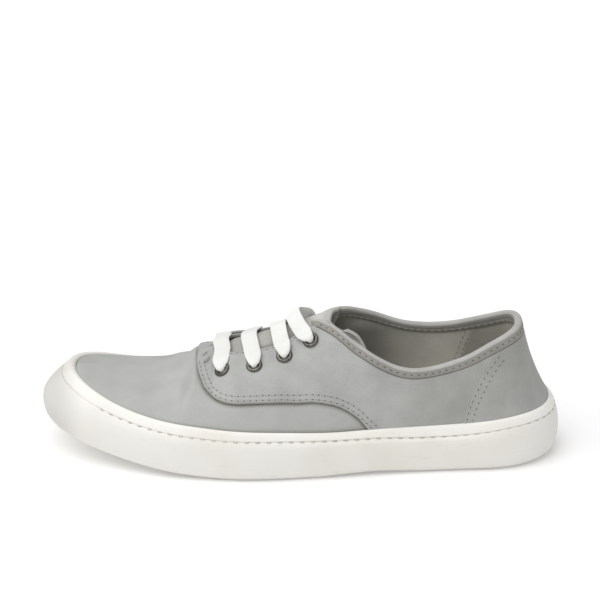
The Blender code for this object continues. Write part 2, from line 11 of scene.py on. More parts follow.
import bpy
import numpy as np
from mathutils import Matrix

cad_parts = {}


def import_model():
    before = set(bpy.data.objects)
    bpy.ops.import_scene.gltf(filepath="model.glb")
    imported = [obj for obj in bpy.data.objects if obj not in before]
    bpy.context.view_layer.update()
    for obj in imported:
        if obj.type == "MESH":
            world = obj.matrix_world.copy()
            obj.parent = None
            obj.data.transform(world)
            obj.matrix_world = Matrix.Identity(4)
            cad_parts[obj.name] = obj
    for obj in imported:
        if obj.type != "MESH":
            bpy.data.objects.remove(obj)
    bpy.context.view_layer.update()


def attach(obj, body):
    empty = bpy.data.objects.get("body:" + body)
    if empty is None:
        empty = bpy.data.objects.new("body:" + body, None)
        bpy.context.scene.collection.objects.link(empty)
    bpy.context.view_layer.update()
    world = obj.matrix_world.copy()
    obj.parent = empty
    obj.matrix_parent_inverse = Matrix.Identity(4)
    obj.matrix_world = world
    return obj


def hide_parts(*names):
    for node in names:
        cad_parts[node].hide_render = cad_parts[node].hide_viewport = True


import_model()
LOG = logging.getLogger("sneaker")
MM = 0.001
FINE = 20
Array = np.ndarray
Rows = dict[str, Array]
Span = tuple[float, float]
Triple = tuple[float, float, float]
Socket = bpy.types.NodeSocket


class Side(Enum):
    """The two sides of the shoe. The lateral one faces the camera."""

    LATERAL = "lateral"
    MEDIAL = "medial"

    def turn(self, around: Array) -> Array:
        """Return places around the lateral wall, moved to this side."""
        return 2 - around if self is Side.MEDIAL else around


def rows_of(columns: str, *rows: tuple[float, ...]) -> Rows:
    """Return a table as one array for each named column."""
    return dict(zip(columns.split(), np.array(rows, float).T))


OUTLINE = rows_of(
    "station centre half_width",
    (0, 6.5, 43.5), (40, 5, 45), (80, 1, 49), (110, -0.5, 50.5),
    (150, -3, 44.5), (185, -2.5, 39.5), (225, -0.5, 37.5), (275, 0, 37))
RIM = rows_of(
    "station height groove",
    (0, 31.6, 6.2), (20, 29.6, 5.8), (40, 27.6, 5.2), (90, 27.3, 5), (125, 26, 4.2), (155, 24.6, 3.6),
    (178, 25, 4.2), (200, 25.3, 5.3), (226, 26.3, 5.6), (250, 28.6, 5.1), (275, 29.8, 4.8))
UPPER = rows_of(
    "foot_x top_x half_gap top_height foot_lean top_lean foot_pull top_pull medial_drop",
    (12.5, 31, 0, 34.0, 58, 6, 0.30, 0.45, 0),
    (30, 42, 0, 35.4, 62, 3, 0.32, 0.45, 0),
    (60, 65, 0, 40.5, 66, 0, 0.34, 0.48, 0),
    (85, 86, 12, 52.6, 74, 8, 0.36, 0.45, 0),
    (102, 101, 13, 56.5, 78, 20, 0.38, 0.42, 0),
    (120, 119, 14, 59.5, 82, 28, 0.40, 0.40, 1),
    (136, 133, 13, 65.5, 84, 36, 0.40, 0.40, 2),
    (148, 144, 10.5, 72, 85, 42, 0.40, 0.40, 2),
    (160, 154, 15.5, 71.5, 86, 55, 0.40, 0.35, -0.5),
    (176, 171, 26, 64.5, 86, 70, 0.35, 0.35, -2),
    (200, 196, 31, 56, 86, 80, 0.33, 0.33, -1.2),
    (225, 219, 27.5, 58.5, 84, 82, 0.33, 0.33, 0.5),
    (245, 236.6, 23.5, 65.5, 78, 82, 0.33, 0.33, 2),
    (258, 247.2, 22.5, 69.5, 65, 81, 0.33, 0.33, 1.5),
    (267, 251.8, 22, 70.5, 58, 80, 0.33, 0.33, 0))
EDGE_TRIM = rows_of(
    "top_x lateral medial",
    (118, 0, 0), (128, -0.4, 0), (135, -1.0, -0.8), (141, 0.4, -2.6), (147, 2.0, -3.9), (152, 2.4, -3.0),
    (158, 2.0, -1.2), (165, 0.9, 0), (170, 0.4, 0), (175, -0.6, 0), (181, -1.3, 0), (188, -1.7, 0),
    (194, -1.4, 0), (202, -0.7, 0), (225, -0.6, 0), (240, -0.3, 0), (253, 0, 0))
BAND_DEPTH = rows_of(
    "foot_x depth",
    (149, 3.0), (155, 4.2), (163, 5.2), (172, 5.4), (182, 5.0), (195, 4.1), (206, 3.8), (217, 4.0),
    (229, 4.4), (240, 4.9), (252, 5.2), (267, 5.4))
EYELETS = rows_of("foot_x up", (98.5, 0.730), (116.5, 0.785), (133.2, 0.830), (147.8, 0.838))


def unit(vectors: Array) -> Array:
    """Return the same directions with length 1."""
    return vectors / np.maximum(np.linalg.norm(vectors, axis=-1, keepdims=True), 1e-12)


def ease(share: Array) -> Array:
    """Return a share from 0 to 1 with a soft start and end."""
    share = np.clip(share, 0, 1)
    return share * share * (3 - 2 * share)


def past(x: Array, start: float, over: float) -> Array:
    """Return a share that rises softly from 0 at a start to 1 some distance past it."""
    return ease((x - start) / over)


def before(x: Array, end: float, over: float) -> Array:
    """Return a share that falls softly to 0 at an end, from 1 some distance before it."""
    return ease((end - x) / over)


def bell(distance: Array, width: float) -> Array:
    """Return a share that is 1 at no distance and fades out to both sides."""
    return np.exp(-(distance / width) ** 2)


def matched(*values: Array) -> list[Array]:
    """Return values as arrays of numbers that share one shape."""
    return np.broadcast_arrays(*(np.asarray(value, float) for value in values))


def curve(rows: Rows, key: str, column: str, x: Array) -> Array:
    """Read a column of a table at x, along a smooth cubic through its rows.

    Args:
        rows: The table.
        key: The column that x belongs to, rising from row to row.
        column: The column to read.
        x: Where to read it, held to the table's ends.

    Returns:
        The column's values at x.
    """
    keys, values = rows[key], rows[column]
    slopes = np.gradient(values, keys)
    x = np.clip(x, keys[0], keys[-1])
    i = np.clip(np.searchsorted(keys, x) - 1, 0, len(keys) - 2)
    span = keys[i + 1] - keys[i]
    s = (x - keys[i]) / span
    r = 1 - s
    ends = (1 + 2 * s) * r * r * values[i] + (1 + 2 * r) * s * s * values[i + 1]
    return ends + s * r * span * (r * slopes[i] - s * slopes[i + 1])


def curves(rows: Rows, key: str, columns: str, x: Array) -> list[Array]:
    """Return several columns of a table at x, each read as curve reads one."""
    return [curve(rows, key, column, x) for column in columns.split()]


def lengths_along(points: Array) -> Array:
    """Return the length along the first axis of the points, starting at 0."""
    steps = np.linalg.norm(np.diff(points, axis=0), axis=-1)
    return np.concatenate([np.zeros_like(steps[:1]), np.cumsum(steps, axis=0)])


def lengths_across(points: Array) -> Array:
    """Return the length along the second axis of the points, starting at 0."""
    return np.moveaxis(lengths_along(np.moveaxis(points, 1, 0)), 0, 1)


def spread(line: Array, count: int) -> Array:
    """Place points evenly along a line of close points.

    Args:
        line: The line's points, in order.
        count: How many points to place.

    Returns:
        The points, the first and last of them at the line's ends.
    """
    lengths = lengths_along(line)
    at = np.linspace(0, lengths[-1], count)
    return np.stack([np.interp(at, lengths, line[:, k]) for k in range(line.shape[1])], -1)


def smooth_line(stops: Array, count: int) -> Array:
    """Place points evenly along a smooth cubic through some stops.

    Args:
        stops: The points that the curve goes through.
        count: How many points to place.

    Returns:
        The points along the curve.
    """
    lengths = lengths_along(stops)
    names = [str(k) for k in range(stops.shape[1])]
    table = {"at": lengths, **dict(zip(names, stops.T))}
    fine = np.linspace(0, lengths[-1], FINE * count)
    return spread(np.stack(curves(table, "at", " ".join(names), fine), -1), count)


def nearest(points: Array, line: Array) -> tuple[Array, Array]:
    """Measure how far points are from a line of close points.

    Args:
        points: Any grid of points.
        line: The line's points, in order.

    Returns:
        The distance of each point, and the share of the line at which it is nearest.
    """
    gaps = np.linalg.norm(points[..., None, :] - line, axis=-1)
    return gaps.min(-1), gaps.argmin(-1) / (len(line) - 1)


def gap_to(points: Array, line: Array) -> Array:
    """Return how far points are from a line, in single precision to save memory."""
    return nearest(points.astype(np.float32), line.astype(np.float32))[0]


@dataclass(frozen=True)
class ShoeForm:
    """The shoe's shape: the sole's outline, the toe spring, and the upper's wall.

    A place on the wall is (around, up). Around runs from the toe at 0 along the lateral side to the heel at 1
    and back along the medial side to 2. Up runs from the sole's rim at 0 to the wall's top edge at 1.
    """

    length: float = 275
    toe_round: float = 80
    heel_round: float = 44
    round_power: float = 2.2
    spring_start: float = 112
    spring_height: float = 18
    inset: float = 6
    toe_inset: float = 6.5
    heel_inset: float = 2
    foot_below_rim: float = 0.5
    throat: float = 92
    throat_length: float = 12
    middle_x: float = 139.46646
    middle_y: float = -0.3132
    step: float = 1e-3
    depth_rows: int = 121
    walk_steps: int = 4

    def place(self, points: Array) -> Array:
        """Return points of the shoe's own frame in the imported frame, in metres."""
        return (points - np.array([self.middle_x, self.middle_y, 0])) * MM

    def rounding(self, distance: Array, length: float) -> Array:
        """Return the share of the full width at a distance from a rounded end."""
        q = np.clip(1 - distance / length, 0, 1)
        return np.maximum(1 - q ** self.round_power, 0) ** (1 / self.round_power)

    def ends(self, inset: float, toe_inset: float, heel_inset: float) -> Span:
        """Return the x at the front and at the back of a ring inside the sole's outline."""
        return inset + toe_inset, self.length - inset - heel_inset

    def outline(self, around: Array, inset: float, toe_inset: float, heel_inset: float) -> list[Array]:
        """Work out a ring that lies inside the sole's outline.

        Args:
            around: Places around the ring.
            inset: How far in the ring lies.
            toe_inset: How much further in it lies at the toe.
            heel_inset: How much further in it lies at the heel.

        Returns:
            The ring's x and y.
        """
        around = np.mod(around, 2)
        along = np.where(around <= 1, around, 2 - around)
        side = np.where(around <= 1, -1.0, 1.0)
        front, back = self.ends(inset, toe_inset, heel_inset)
        x = front + (back - front) * (1 - np.cos(np.pi * along)) / 2
        half = curve(OUTLINE, "station", "half_width", x) - inset
        half = half * self.rounding(x - front, self.toe_round - front)
        half = half * self.rounding(back - x, self.heel_round - self.length + back)
        return [x, curve(OUTLINE, "station", "centre", x) + side * half]

    def foot_ring(self, around: Array, inset: float) -> list[Array]:
        """Return the x and y of a ring that is drawn as the wall's foot is, at an inset of its own."""
        return self.outline(around, inset, self.toe_inset, self.heel_inset)

    def around_at(self, foot_x: Array) -> Array:
        """Return the place around the lateral wall whose foot lies at x."""
        front, back = self.ends(self.inset, self.toe_inset, self.heel_inset)
        return np.arccos(1 - 2 * (np.asarray(foot_x) - front) / (back - front)) / np.pi

    def foot_at(self, around: Array) -> Array:
        """Return the x of the wall's foot at a place around it, on either side."""
        return self.foot_ring(around, self.inset)[0]

    def band_at(self, around: Array) -> Array:
        """Return how deep the collar's band reaches down the wall at a place around it."""
        return curve(BAND_DEPTH, "foot_x", "depth", self.foot_at(around))

    def bend(self, x: Array, y: Array, n: Array) -> Array:
        """Roll the forefoot up on an arc, so that the toe tip rises by the spring.

        Args:
            x: Distances from the toe tip along the flat shoe.
            y: Distances across it.
            n: Heights above it.

        Returns:
            The points, bent where they lie ahead of the spring's start.
        """
        rate = 2 * self.spring_height / self.spring_start ** 2
        angle = rate * np.maximum(self.spring_start - x, 0)
        flat_x = np.where(x < self.spring_start, self.spring_start - np.sin(angle) / rate, x)
        lift = (1 - np.cos(angle)) / rate
        parts = np.broadcast_arrays(flat_x + n * np.sin(angle), y, lift + n * np.cos(angle))
        return np.stack(parts, -1)

    def wall(self, around: Array, up: Array) -> Array:
        """Work out the upper's outer face, where each section is one cubic curve in an upright plane.

        The section leaves its foot on the rim at one lean and reaches the top edge at another, and a pull
        at each end says how far it keeps to that lean.

        Args:
            around: Places around the wall.
            up: Heights on it.

        Returns:
            The points.
        """
        around, up = matched(around, up)
        side = np.where(np.mod(around, 2) <= 1, -1.0, 1.0)
        foot_x, foot_y = self.foot_ring(around, self.inset)
        foot_n = curve(RIM, "station", "height", foot_x) - self.foot_below_rim
        row = {name: curve(UPPER, "foot_x", name, foot_x) for name in UPPER if name != "foot_x"}
        back = UPPER["foot_x"][-1]
        half = row["half_gap"] * self.rounding(back - foot_x, self.heel_round - self.inset - self.heel_inset)
        opened = np.clip((row["top_x"] - self.throat) / self.throat_length, 0, 1)
        half = half * np.sin(np.pi / 2 * opened)
        top_y = curve(OUTLINE, "station", "centre", row["top_x"]) + side * half
        top_n = row["top_height"] - np.where(side > 0, row["medial_drop"], 0)
        top_n = top_n + np.where(side > 0, *curves(EDGE_TRIM, "top_x", "medial lateral", row["top_x"]))
        dx, dy, rise = row["top_x"] - foot_x, top_y - foot_y, top_n - foot_n
        run = np.hypot(dx, dy)
        foot_lean, top_lean = np.radians(row["foot_lean"]), np.radians(row["top_lean"])
        foot_pull = row["foot_pull"] * rise
        top_pull = row["top_pull"] * (run * np.cos(top_lean) + rise * np.sin(top_lean))
        one, two, three = 3 * up * (1 - up) ** 2, 3 * up ** 2 * (1 - up), up ** 3
        inward = one * foot_pull * np.cos(foot_lean) + two * (run - top_pull * np.cos(top_lean))
        inward = inward + three * run
        height = one * foot_pull * np.sin(foot_lean) + two * (rise - top_pull * np.sin(top_lean))
        height = height + three * rise
        return self.bend(foot_x + dx * inward / run, foot_y + dy * inward / run, foot_n + height)

    def slopes(self, around: Array, up: Array) -> tuple[Array, Array]:
        """Return how the wall runs on around the shoe and up it, each over two small steps."""
        along = self.wall(around + self.step, up) - self.wall(around - self.step, up)
        return along, self.wall(around, up + self.step) - self.wall(around, up - self.step)

    def directions(self, around: Array, up: Array) -> tuple[Array, Array]:
        """Return the directions up along the wall and straight out of it."""
        along, upward = self.slopes(around, up)
        return unit(upward), unit(np.cross(along, upward))

    def skin(self, around: Array, up: Array, out: Array) -> Array:
        """Return points some distance out from the upper's outer face."""
        around, up = matched(around, up)
        return self.wall(around, up) + self.directions(around, up)[1] * np.asarray(out)[..., None]

    def up_at_depth(self, around: Array, depth: Array) -> Array:
        """Find the heights on the wall that lie some depth below its top edge, measured along the wall.

        Args:
            around: Places around the wall.
            depth: Depths below its top edge.

        Returns:
            The heights.
        """
        around, depth = matched(around, depth)
        heights = np.linspace(1, 0, self.depth_rows)
        places, which = np.unique(around, return_inverse=True)
        lengths = lengths_along(self.wall(places[None, :], heights[:, None]))
        found = np.empty(around.size)
        for k in range(len(places)):
            here = which.reshape(-1) == k
            found[here] = np.interp(depth.reshape(-1)[here], lengths[:, k], heights)
        return found.reshape(around.shape)

    def walk(self, around: Array, up: Array, target: Array) -> tuple[Array, Array]:
        """Find the places on the wall nearest to target points, by a few steps of least squares.

        Args:
            around: First guesses of the places around.
            up: First guesses of the heights.
            target: Points near the wall.

        Returns:
            The places around and the heights.
        """
        for _ in range(self.walk_steps):
            a, u = (slope / (2 * self.step) for slope in self.slopes(around, up))
            miss = target - self.wall(around, up)
            aa, uu, au = (a * a).sum(-1), (u * u).sum(-1), (a * u).sum(-1)
            am, um = (a * miss).sum(-1), (u * miss).sum(-1)
            scale = aa * uu - au * au
            around = around + (am * uu - um * au) / scale
            up = up + (um * aa - am * au) / scale
        return around, up

    def beside(self, around: Array, up: Array, distance: float) -> tuple[Array, Array]:
        """Find a line that runs beside another on the wall.

        Args:
            around: The other line's places around.
            up: Its heights.
            distance: How far to its left the new line runs, seen from outside.

        Returns:
            The new line's places around and heights.
        """
        line = self.wall(around, up)
        heading = unit(np.gradient(line, axis=0))
        left = np.cross(self.directions(around, up)[1], heading)
        return self.walk(around, up, line + unit(left) * distance)


def linked(name: str, data: bpy.types.ID) -> bpy.types.Object:
    """Make an object of some data and link it into the scene.

    Args:
        name: The object's name.
        data: Its mesh, lamp or camera.

    Returns:
        The object.
    """
    made = bpy.data.objects.new(name, data)
    bpy.context.scene.collection.objects.link(made)
    return made


class MeshDraft:
    """Grids of points gathered into one mesh. Points that fall together are joined, closing its seams."""

    WELD = 0.002

    def __init__(self) -> None:
        """Start with nothing in it."""
        self.points: list[Array] = []
        self.shade: list[Array] = []
        self.quads: list[Array] = []
        self.corner_uv: list[Array] = []
        self.count = 0

    def add_grid(self, points: Array, closed: bool = False, turned: bool = False,
                 shade: Array | float = 0.0, keep: Array | None = None) -> None:
        """Add a grid whose first axis runs along the shoe and whose second runs up it.

        Args:
            points: Points in millimetres, rows by columns by 3.
            closed: Whether the last row joins the first.
            turned: Whether the faces look the other way.
            shade: How far each point is darkened, from 0 to 1, by painted shade and some dirt.
            keep: Which faces to keep, for holes.
        """
        looped = np.concatenate([points, points[:1]], 0) if closed else points
        rows, columns = looped.shape[:2]
        index = np.arange(points.shape[0] * columns).reshape(-1, columns)
        index = np.concatenate([index, index[:1]], 0) if closed else index
        weave = np.stack([lengths_along(looped), lengths_across(looped)], -1)

        def corners(of: Array) -> Array:
            """Return the values at the four corners of each face."""
            return np.stack([of[:-1, :-1], of[1:, :-1], of[1:, 1:], of[:-1, 1:]], 2)

        chosen = np.ones((rows - 1, columns - 1), bool) if keep is None else keep
        quads, corner_uv = corners(index)[chosen] + self.count, corners(weave)[chosen]
        if turned:
            quads, corner_uv = quads[:, ::-1], corner_uv[:, ::-1]
        self.points.append(points.reshape(-1, 3))
        self.shade.append(np.broadcast_to(shade, points.shape[:2]).reshape(-1))
        self.quads.append(quads)
        self.corner_uv.append(corner_uv)
        self.count += points.shape[0] * columns

    def add_caps(self, rings: Array) -> None:
        """Close both ends of a tube, each with a fan from its last ring to the ring's middle.

        Args:
            rings: The tube's rings, in order.
        """
        for end, turned in ((rings[0], True), (rings[-1], False)):
            self.add_grid(np.stack([end, np.broadcast_to(end.mean(0), end.shape)], 0), turned=turned)

    def add_hole_walls(self, over: Array, under: Array, keep: Array, turned: bool) -> None:
        """Close the holes cut through two grids, one over the other, with a wall along each cut edge.

        Args:
            over: The outer grid.
            under: The grid below it.
            keep: Which faces both of them keep.
            turned: Whether the outer grid's faces are turned.
        """
        both = np.stack([over, under], 2)
        i, j = np.nonzero(keep[:, :-1] != keep[:, 1:])
        kept = keep[i, j + 1].astype(int)
        starts, stops = [both[i + kept, j + 1]], [both[i + 1 - kept, j + 1]]
        i, j = np.nonzero(keep[:-1] != keep[1:])
        kept = keep[i + 1, j].astype(int)
        starts.append(both[i + 1, j + 1 - kept])
        stops.append(both[i + 1, j + kept])
        walls = np.stack([np.concatenate(starts), np.concatenate(stops)], 1).reshape(-1, 2, 3)
        self.add_grid(walls, turned=turned, keep=(np.arange(len(walls) - 1) % 2 == 0)[:, None])

    def build(self, name: str, form: ShoeForm, material: bpy.types.Material) -> bpy.types.Object:
        """Make the mesh and its object.

        Args:
            name: The piece's name.
            form: The shoe's form, which places the points.
            material: The finish of the piece.

        Returns:
            The object, linked and riding the shoe's body.
        """
        points, quads = np.concatenate(self.points), np.concatenate(self.quads)
        cells = np.round(points / self.WELD).astype(np.int64)
        _, first, joined = np.unique(cells, axis=0, return_index=True, return_inverse=True)
        corners = joined.reshape(-1)[quads]
        used = corners != np.roll(corners, 1, axis=1)
        sizes = used.sum(1)
        good = sizes > 2
        used, sizes = used[good], sizes[good]
        loops = corners[good][used]

        mesh = bpy.data.meshes.new(name)
        mesh.vertices.add(len(first))
        mesh.vertices.foreach_set("co", form.place(points[first]).astype(np.float32).ravel())
        mesh.loops.add(len(loops))
        mesh.loops.foreach_set("vertex_index", loops.astype(np.int32))
        mesh.polygons.add(len(sizes))
        mesh.polygons.foreach_set("loop_start", (np.cumsum(sizes) - sizes).astype(np.int32))
        mesh.update(calc_edges=True)
        weave = mesh.uv_layers.new(name="weave")
        corner_uv = np.concatenate(self.corner_uv)[good][used]
        weave.data.foreach_set("uv", corner_uv.astype(np.float32).ravel())
        shade = mesh.attributes.new("shade", "FLOAT", "POINT")
        shade.data.foreach_set("value", np.concatenate(self.shade)[first].astype(np.float32))
        mesh.shade_smooth()
        mesh.materials.append(material)
        made = linked(name, mesh)
        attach(made, "root")
        LOG.info("%s: %d faces", name, len(sizes))
        return made


def thicken(piece: bpy.types.Object, thickness: float) -> None:
    """Give an open sheet its thickness, inwards from its outer face.

    Args:
        piece: The sheet.
        thickness: Its thickness in millimetres.
    """
    solid = piece.modifiers.new("thickness", "SOLIDIFY")
    solid.thickness = thickness * MM
    solid.offset = -1
    solid.use_rim = True


class NodeSheet:
    """A material's nodes, with short ways to add and join them."""

    def __init__(self, name: str) -> None:
        """Make the material with its shader.

        Args:
            name: The material's name.
        """
        self.material = bpy.data.materials.new(name)
        self.material.use_nodes = True
        self.tree = self.material.node_tree
        self.shader = self.tree.nodes["Principled BSDF"]

    def node(self, kind: str, inputs: dict[int | str, object], **settings: object) -> bpy.types.Node:
        """Add a node.

        Args:
            kind: The node's type.
            inputs: Values for its inputs, or output sockets to join to them.
            settings: Its own settings.

        Returns:
            The node.
        """
        made = self.tree.nodes.new(kind)
        for key, value in settings.items():
            setattr(made, key, value)
        for key, value in inputs.items():
            self.put(made.inputs[key], value)
        return made

    def put(self, socket: Socket, value: object) -> None:
        """Set an input, or join another node's output to it.

        Args:
            socket: The input.
            value: A plain value or an output socket.
        """
        if isinstance(value, Socket):
            self.tree.links.new(value, socket)
        else:
            socket.default_value = value

    def place(self) -> Socket:
        """Return the piece's own coordinates."""
        return self.node("ShaderNodeTexCoord", {}).outputs["Object"]

    def math(self, operation: str, *values: object) -> Socket:
        """Return the result of a sum on numbers or sockets."""
        return self.node("ShaderNodeMath", dict(enumerate(values)), operation=operation).outputs[0]

    def stretched(self, where: Socket, by: Triple) -> Socket:
        """Return coordinates multiplied by a number for each axis."""
        return self.node("ShaderNodeVectorMath", {0: where, 1: by}, operation="MULTIPLY").outputs[0]

    def noise(self, where: Socket, scale: float, detail: float = 2.0) -> Socket:
        """Return soft noise from 0 to 1 at a place."""
        return self.node("ShaderNodeTexNoise", {"Vector": where, "Scale": scale, "Detail": detail}).outputs[0]

    def blend(self, share: object, first: object, second: object) -> Socket:
        """Return a colour between two."""
        return self.node("ShaderNodeMix", {0: share, 6: first, 7: second}, data_type="RGBA").outputs[2]

    def shaded_and_dirtied(self, tone: Socket, shade_and_dirt: Triple) -> Socket:
        """Return a colour darkened towards a dark colour by the shade attribute: painted shade, with some
        dirt.
        """
        shade = self.node("ShaderNodeAttribute", {}, attribute_name="shade").outputs["Fac"]
        return self.blend(shade, tone, linear(shade_and_dirt))

    def ramp(self, value: Socket, low: float, high: float,
             to_low: float = 0.0, to_high: float = 1.0) -> Socket:
        """Return a value stretched from one range to another and held to it."""
        inputs = {0: value, 1: low, 2: high, 3: to_low, 4: to_high}
        return self.node("ShaderNodeMapRange", inputs, clamp=True).outputs[0]

    def bump(self, height: Socket, strength: float, distance_mm: float,
             under: Socket | None = None) -> Socket:
        """Raise the surface's normal by a height.

        Args:
            height: The height, from 0 to 1.
            strength: How strongly it shows.
            distance_mm: How high it stands.
            under: Another bump that it lies on.

        Returns:
            The raised normal.
        """
        inputs = {"Strength": strength, "Distance": distance_mm * MM, "Height": height}
        if under is not None:
            inputs["Normal"] = under
        return self.node("ShaderNodeBump", inputs).outputs[0]

    def finish(self, **inputs: object) -> bpy.types.Material:
        """Set the shader's inputs.

        Args:
            inputs: Values or sockets under the inputs' names, written with underscores.

        Returns:
            The material.
        """
        for name, value in inputs.items():
            self.put(self.shader.inputs[name.replace("_", " ").title().replace("Ior", "IOR")], value)
        return self.material


def linear(colour: Triple, scale: float = 1.0) -> tuple[float, ...]:
    """Turn a screen colour into the linear one that a shader takes.

    Args:
        colour: Red, green and blue, from 0 to 255.
        scale: What the light is multiplied by.

    Returns:
        The linear colour with an alpha of 1.
    """
    value = np.array(colour) / 255
    light = np.where(value <= 0.04045, value / 12.92, ((value + 0.055) / 1.055) ** 2.4) * scale
    return tuple(float(part) for part in light) + (1.0,)


@dataclass(frozen=True)
class Cloth:
    """A woven cloth: threads that cross over and under, uneven yarn, soft mottling, and painted shade with
    some dirt where the shade attribute darkens it.
    """

    name: str
    colour: Triple
    thread: float = 0.6
    relief: float = 0.07
    mottle: float = 0.11
    # The dark colour that painted shade, with some dirt, turns the cloth towards.
    shade_and_dirt: Triple = (98, 91, 80)
    sheen: float = 0.08
    roughness: float = 0.92
    yarn_long: float = 0.10
    yarn_short: float = 1.3
    yarn_bump: float = 0.5
    weave_bump: float = 0.6
    patch_scale: float = 70.0
    patch_share: float = 0.65
    yarn_share: float = 0.35
    tone_range: Span = (0.34, 0.66)
    sheen_roughness: float = 0.6
    gloss: float = 0.15

    def material(self) -> bpy.types.Material:
        """Weave the cloth on the weave map in millimetres, as the product of two sine waves.

        Returns:
            The material.
        """
        sheet = NodeSheet(self.name)
        weave = sheet.node("ShaderNodeUVMap", {}, uv_map="weave").outputs[0]
        place = sheet.place()
        parts = sheet.node("ShaderNodeSeparateXYZ", {0: weave})
        turns = [sheet.math("MULTIPLY", parts.outputs[k], np.pi / self.thread) for k in (0, 1)]
        crossing = sheet.math("MULTIPLY", *(sheet.math("SINE", turn) for turn in turns))
        stretches = ((self.yarn_long, self.yarn_short, 1), (self.yarn_short, self.yarn_long, 1))
        slubs = [sheet.noise(sheet.stretched(weave, stretch), 1.0) for stretch in stretches]
        yarn = sheet.math("MULTIPLY", sheet.math("ADD", *slubs), 0.5)
        patches = sheet.math("MULTIPLY", sheet.noise(place, self.patch_scale, 3.0), self.patch_share)
        tone = sheet.math("ADD", patches, sheet.math("MULTIPLY", yarn, self.yarn_share))
        tone = sheet.ramp(tone, *self.tone_range)
        cloth = sheet.blend(tone, linear(self.colour, 1 - self.mottle), linear(self.colour, 1 + self.mottle))
        normal = sheet.bump(yarn, self.yarn_bump, self.relief)
        normal = sheet.bump(crossing, self.weave_bump, self.relief, normal)
        return sheet.finish(base_color=sheet.shaded_and_dirtied(cloth, self.shade_and_dirt), roughness=self.roughness,
                            normal=normal, sheen_weight=self.sheen, sheen_roughness=self.sheen_roughness,
                            specular_ior_level=self.gloss)


@dataclass(frozen=True)
class Rubber:
    """Moulded rubber: matt, a little yellowed in patches, with faint scuffs along it, and painted shade with
    some dirt in its folds.
    """

    name: str
    colour: Triple
    yellowed: Triple = (228, 221, 204)
    scuff: Triple = (206, 202, 194)
    # The dark colour that painted shade, with some dirt, turns the rubber towards.
    shade_and_dirt: Triple = (112, 107, 98)
    roughness: float = 0.55
    rougher: Span = (-0.06, 0.08)
    patch_scale: float = 30.0
    patch_range: Span = (0.45, 0.75)
    patch_depth: float = 0.4
    scuff_drawn: Triple = (60, 90, 420)
    scuff_range: Span = (0.64, 0.82)
    scuff_depth: float = 0.3
    scuff_relief: float = 0.08
    grain_scale: float = 1400.0
    grain_relief: float = 0.06
    grain_range: Span = (0.3, 0.7)
    bump: float = 0.25
    coat: float = 0.04
    coat_roughness: float = 0.4
    gloss: float = 0.4

    def material(self) -> bpy.types.Material:
        """Lay the patches, scuffs and grain out on the piece's own coordinates.

        Returns:
            The material.
        """
        sheet = NodeSheet(self.name)
        place = sheet.place()
        patches = sheet.noise(place, self.patch_scale, 3.0)
        patches = sheet.ramp(patches, *self.patch_range, 0.0, self.patch_depth)
        tone = sheet.blend(patches, linear(self.colour), linear(self.yellowed))
        scuffs = sheet.noise(sheet.stretched(place, self.scuff_drawn), 1.0, 4.0)
        scuffs = sheet.ramp(scuffs, *self.scuff_range, 0.0, self.scuff_depth)
        tone = sheet.shaded_and_dirtied(sheet.blend(scuffs, tone, linear(self.scuff)), self.shade_and_dirt)
        grain = sheet.noise(place, self.grain_scale)
        normal = sheet.bump(grain, self.bump, self.grain_relief)
        normal = sheet.bump(scuffs, self.bump, self.scuff_relief, normal)
        rough = sheet.ramp(grain, *self.grain_range, *(self.roughness + more for more in self.rougher))
        return sheet.finish(base_color=tone, roughness=rough, normal=normal, coat_weight=self.coat,
                            coat_roughness=self.coat_roughness, specular_ior_level=self.gloss)


@dataclass(frozen=True)
class Plating:
    """Dark nickel plate, brushed and a little dulled."""

    name: str
    colour: Triple
    roughness: float = 0.34
    rougher: Span = (-0.06, 0.14)
    dull_scale: float = 900.0
    dull_range: Span = (0.35, 0.7)
    rough_range: Span = (0.3, 0.7)
    dull_light: float = 0.6
    metal: float = 0.95
    bump: float = 0.15
    relief: float = 0.05

    def material(self) -> bpy.types.Material:
        """Dull the plate in small spots on the piece's own coordinates.

        Returns:
            The material.
        """
        sheet = NodeSheet(self.name)
        dull = sheet.noise(sheet.place(), self.dull_scale, 3.0)
        spots = sheet.ramp(dull, *self.dull_range)
        tone = sheet.blend(spots, linear(self.colour), linear(self.colour, self.dull_light))
        rough = sheet.ramp(dull, *self.rough_range, *(self.roughness + more for more in self.rougher))
        normal = sheet.bump(dull, self.bump, self.relief)
        return sheet.finish(base_color=tone, metallic=self.metal, roughness=rough, normal=normal)


def dressed(piece: bpy.types.Object, slot: str, *nodes: str) -> bpy.types.Object:
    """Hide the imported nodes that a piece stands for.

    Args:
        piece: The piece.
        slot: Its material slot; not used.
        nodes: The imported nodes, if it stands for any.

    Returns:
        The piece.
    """
    if nodes:
        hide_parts(*nodes)
    return piece


SOLE_SIDE = rows_of(
    "at inset from_rim from_groove height toe_inset heel_inset",
    (0, 8, 0, 0, 0, 2, 4), (1, 4.2, 0, 0, 0.8, 1.4, 3), (2, 1.5, 0, 0, 4, 0.4, 1.4),
    (3, 0, 0, 0, 11, -0.9, 1.2), (4, 0.4, 0, 0, 18, 0.5, 0.9), (5, 1.8, 1, 1, -0.6, 2.8, 1),
    (6, 2.5, 1, 1, 0, 3.4, 1), (7, 2.3, 1, 1, 0.8, 3.4, 1), (8, 3.2, 1, 0, -1.2, 4.6, 1.5),
    (9, 4.4, 1, 0, 0, 5.6, 2), (10, 5.7, 1, 0, -0.3, 6.5, 2))
SOLE_GROOVE = 6
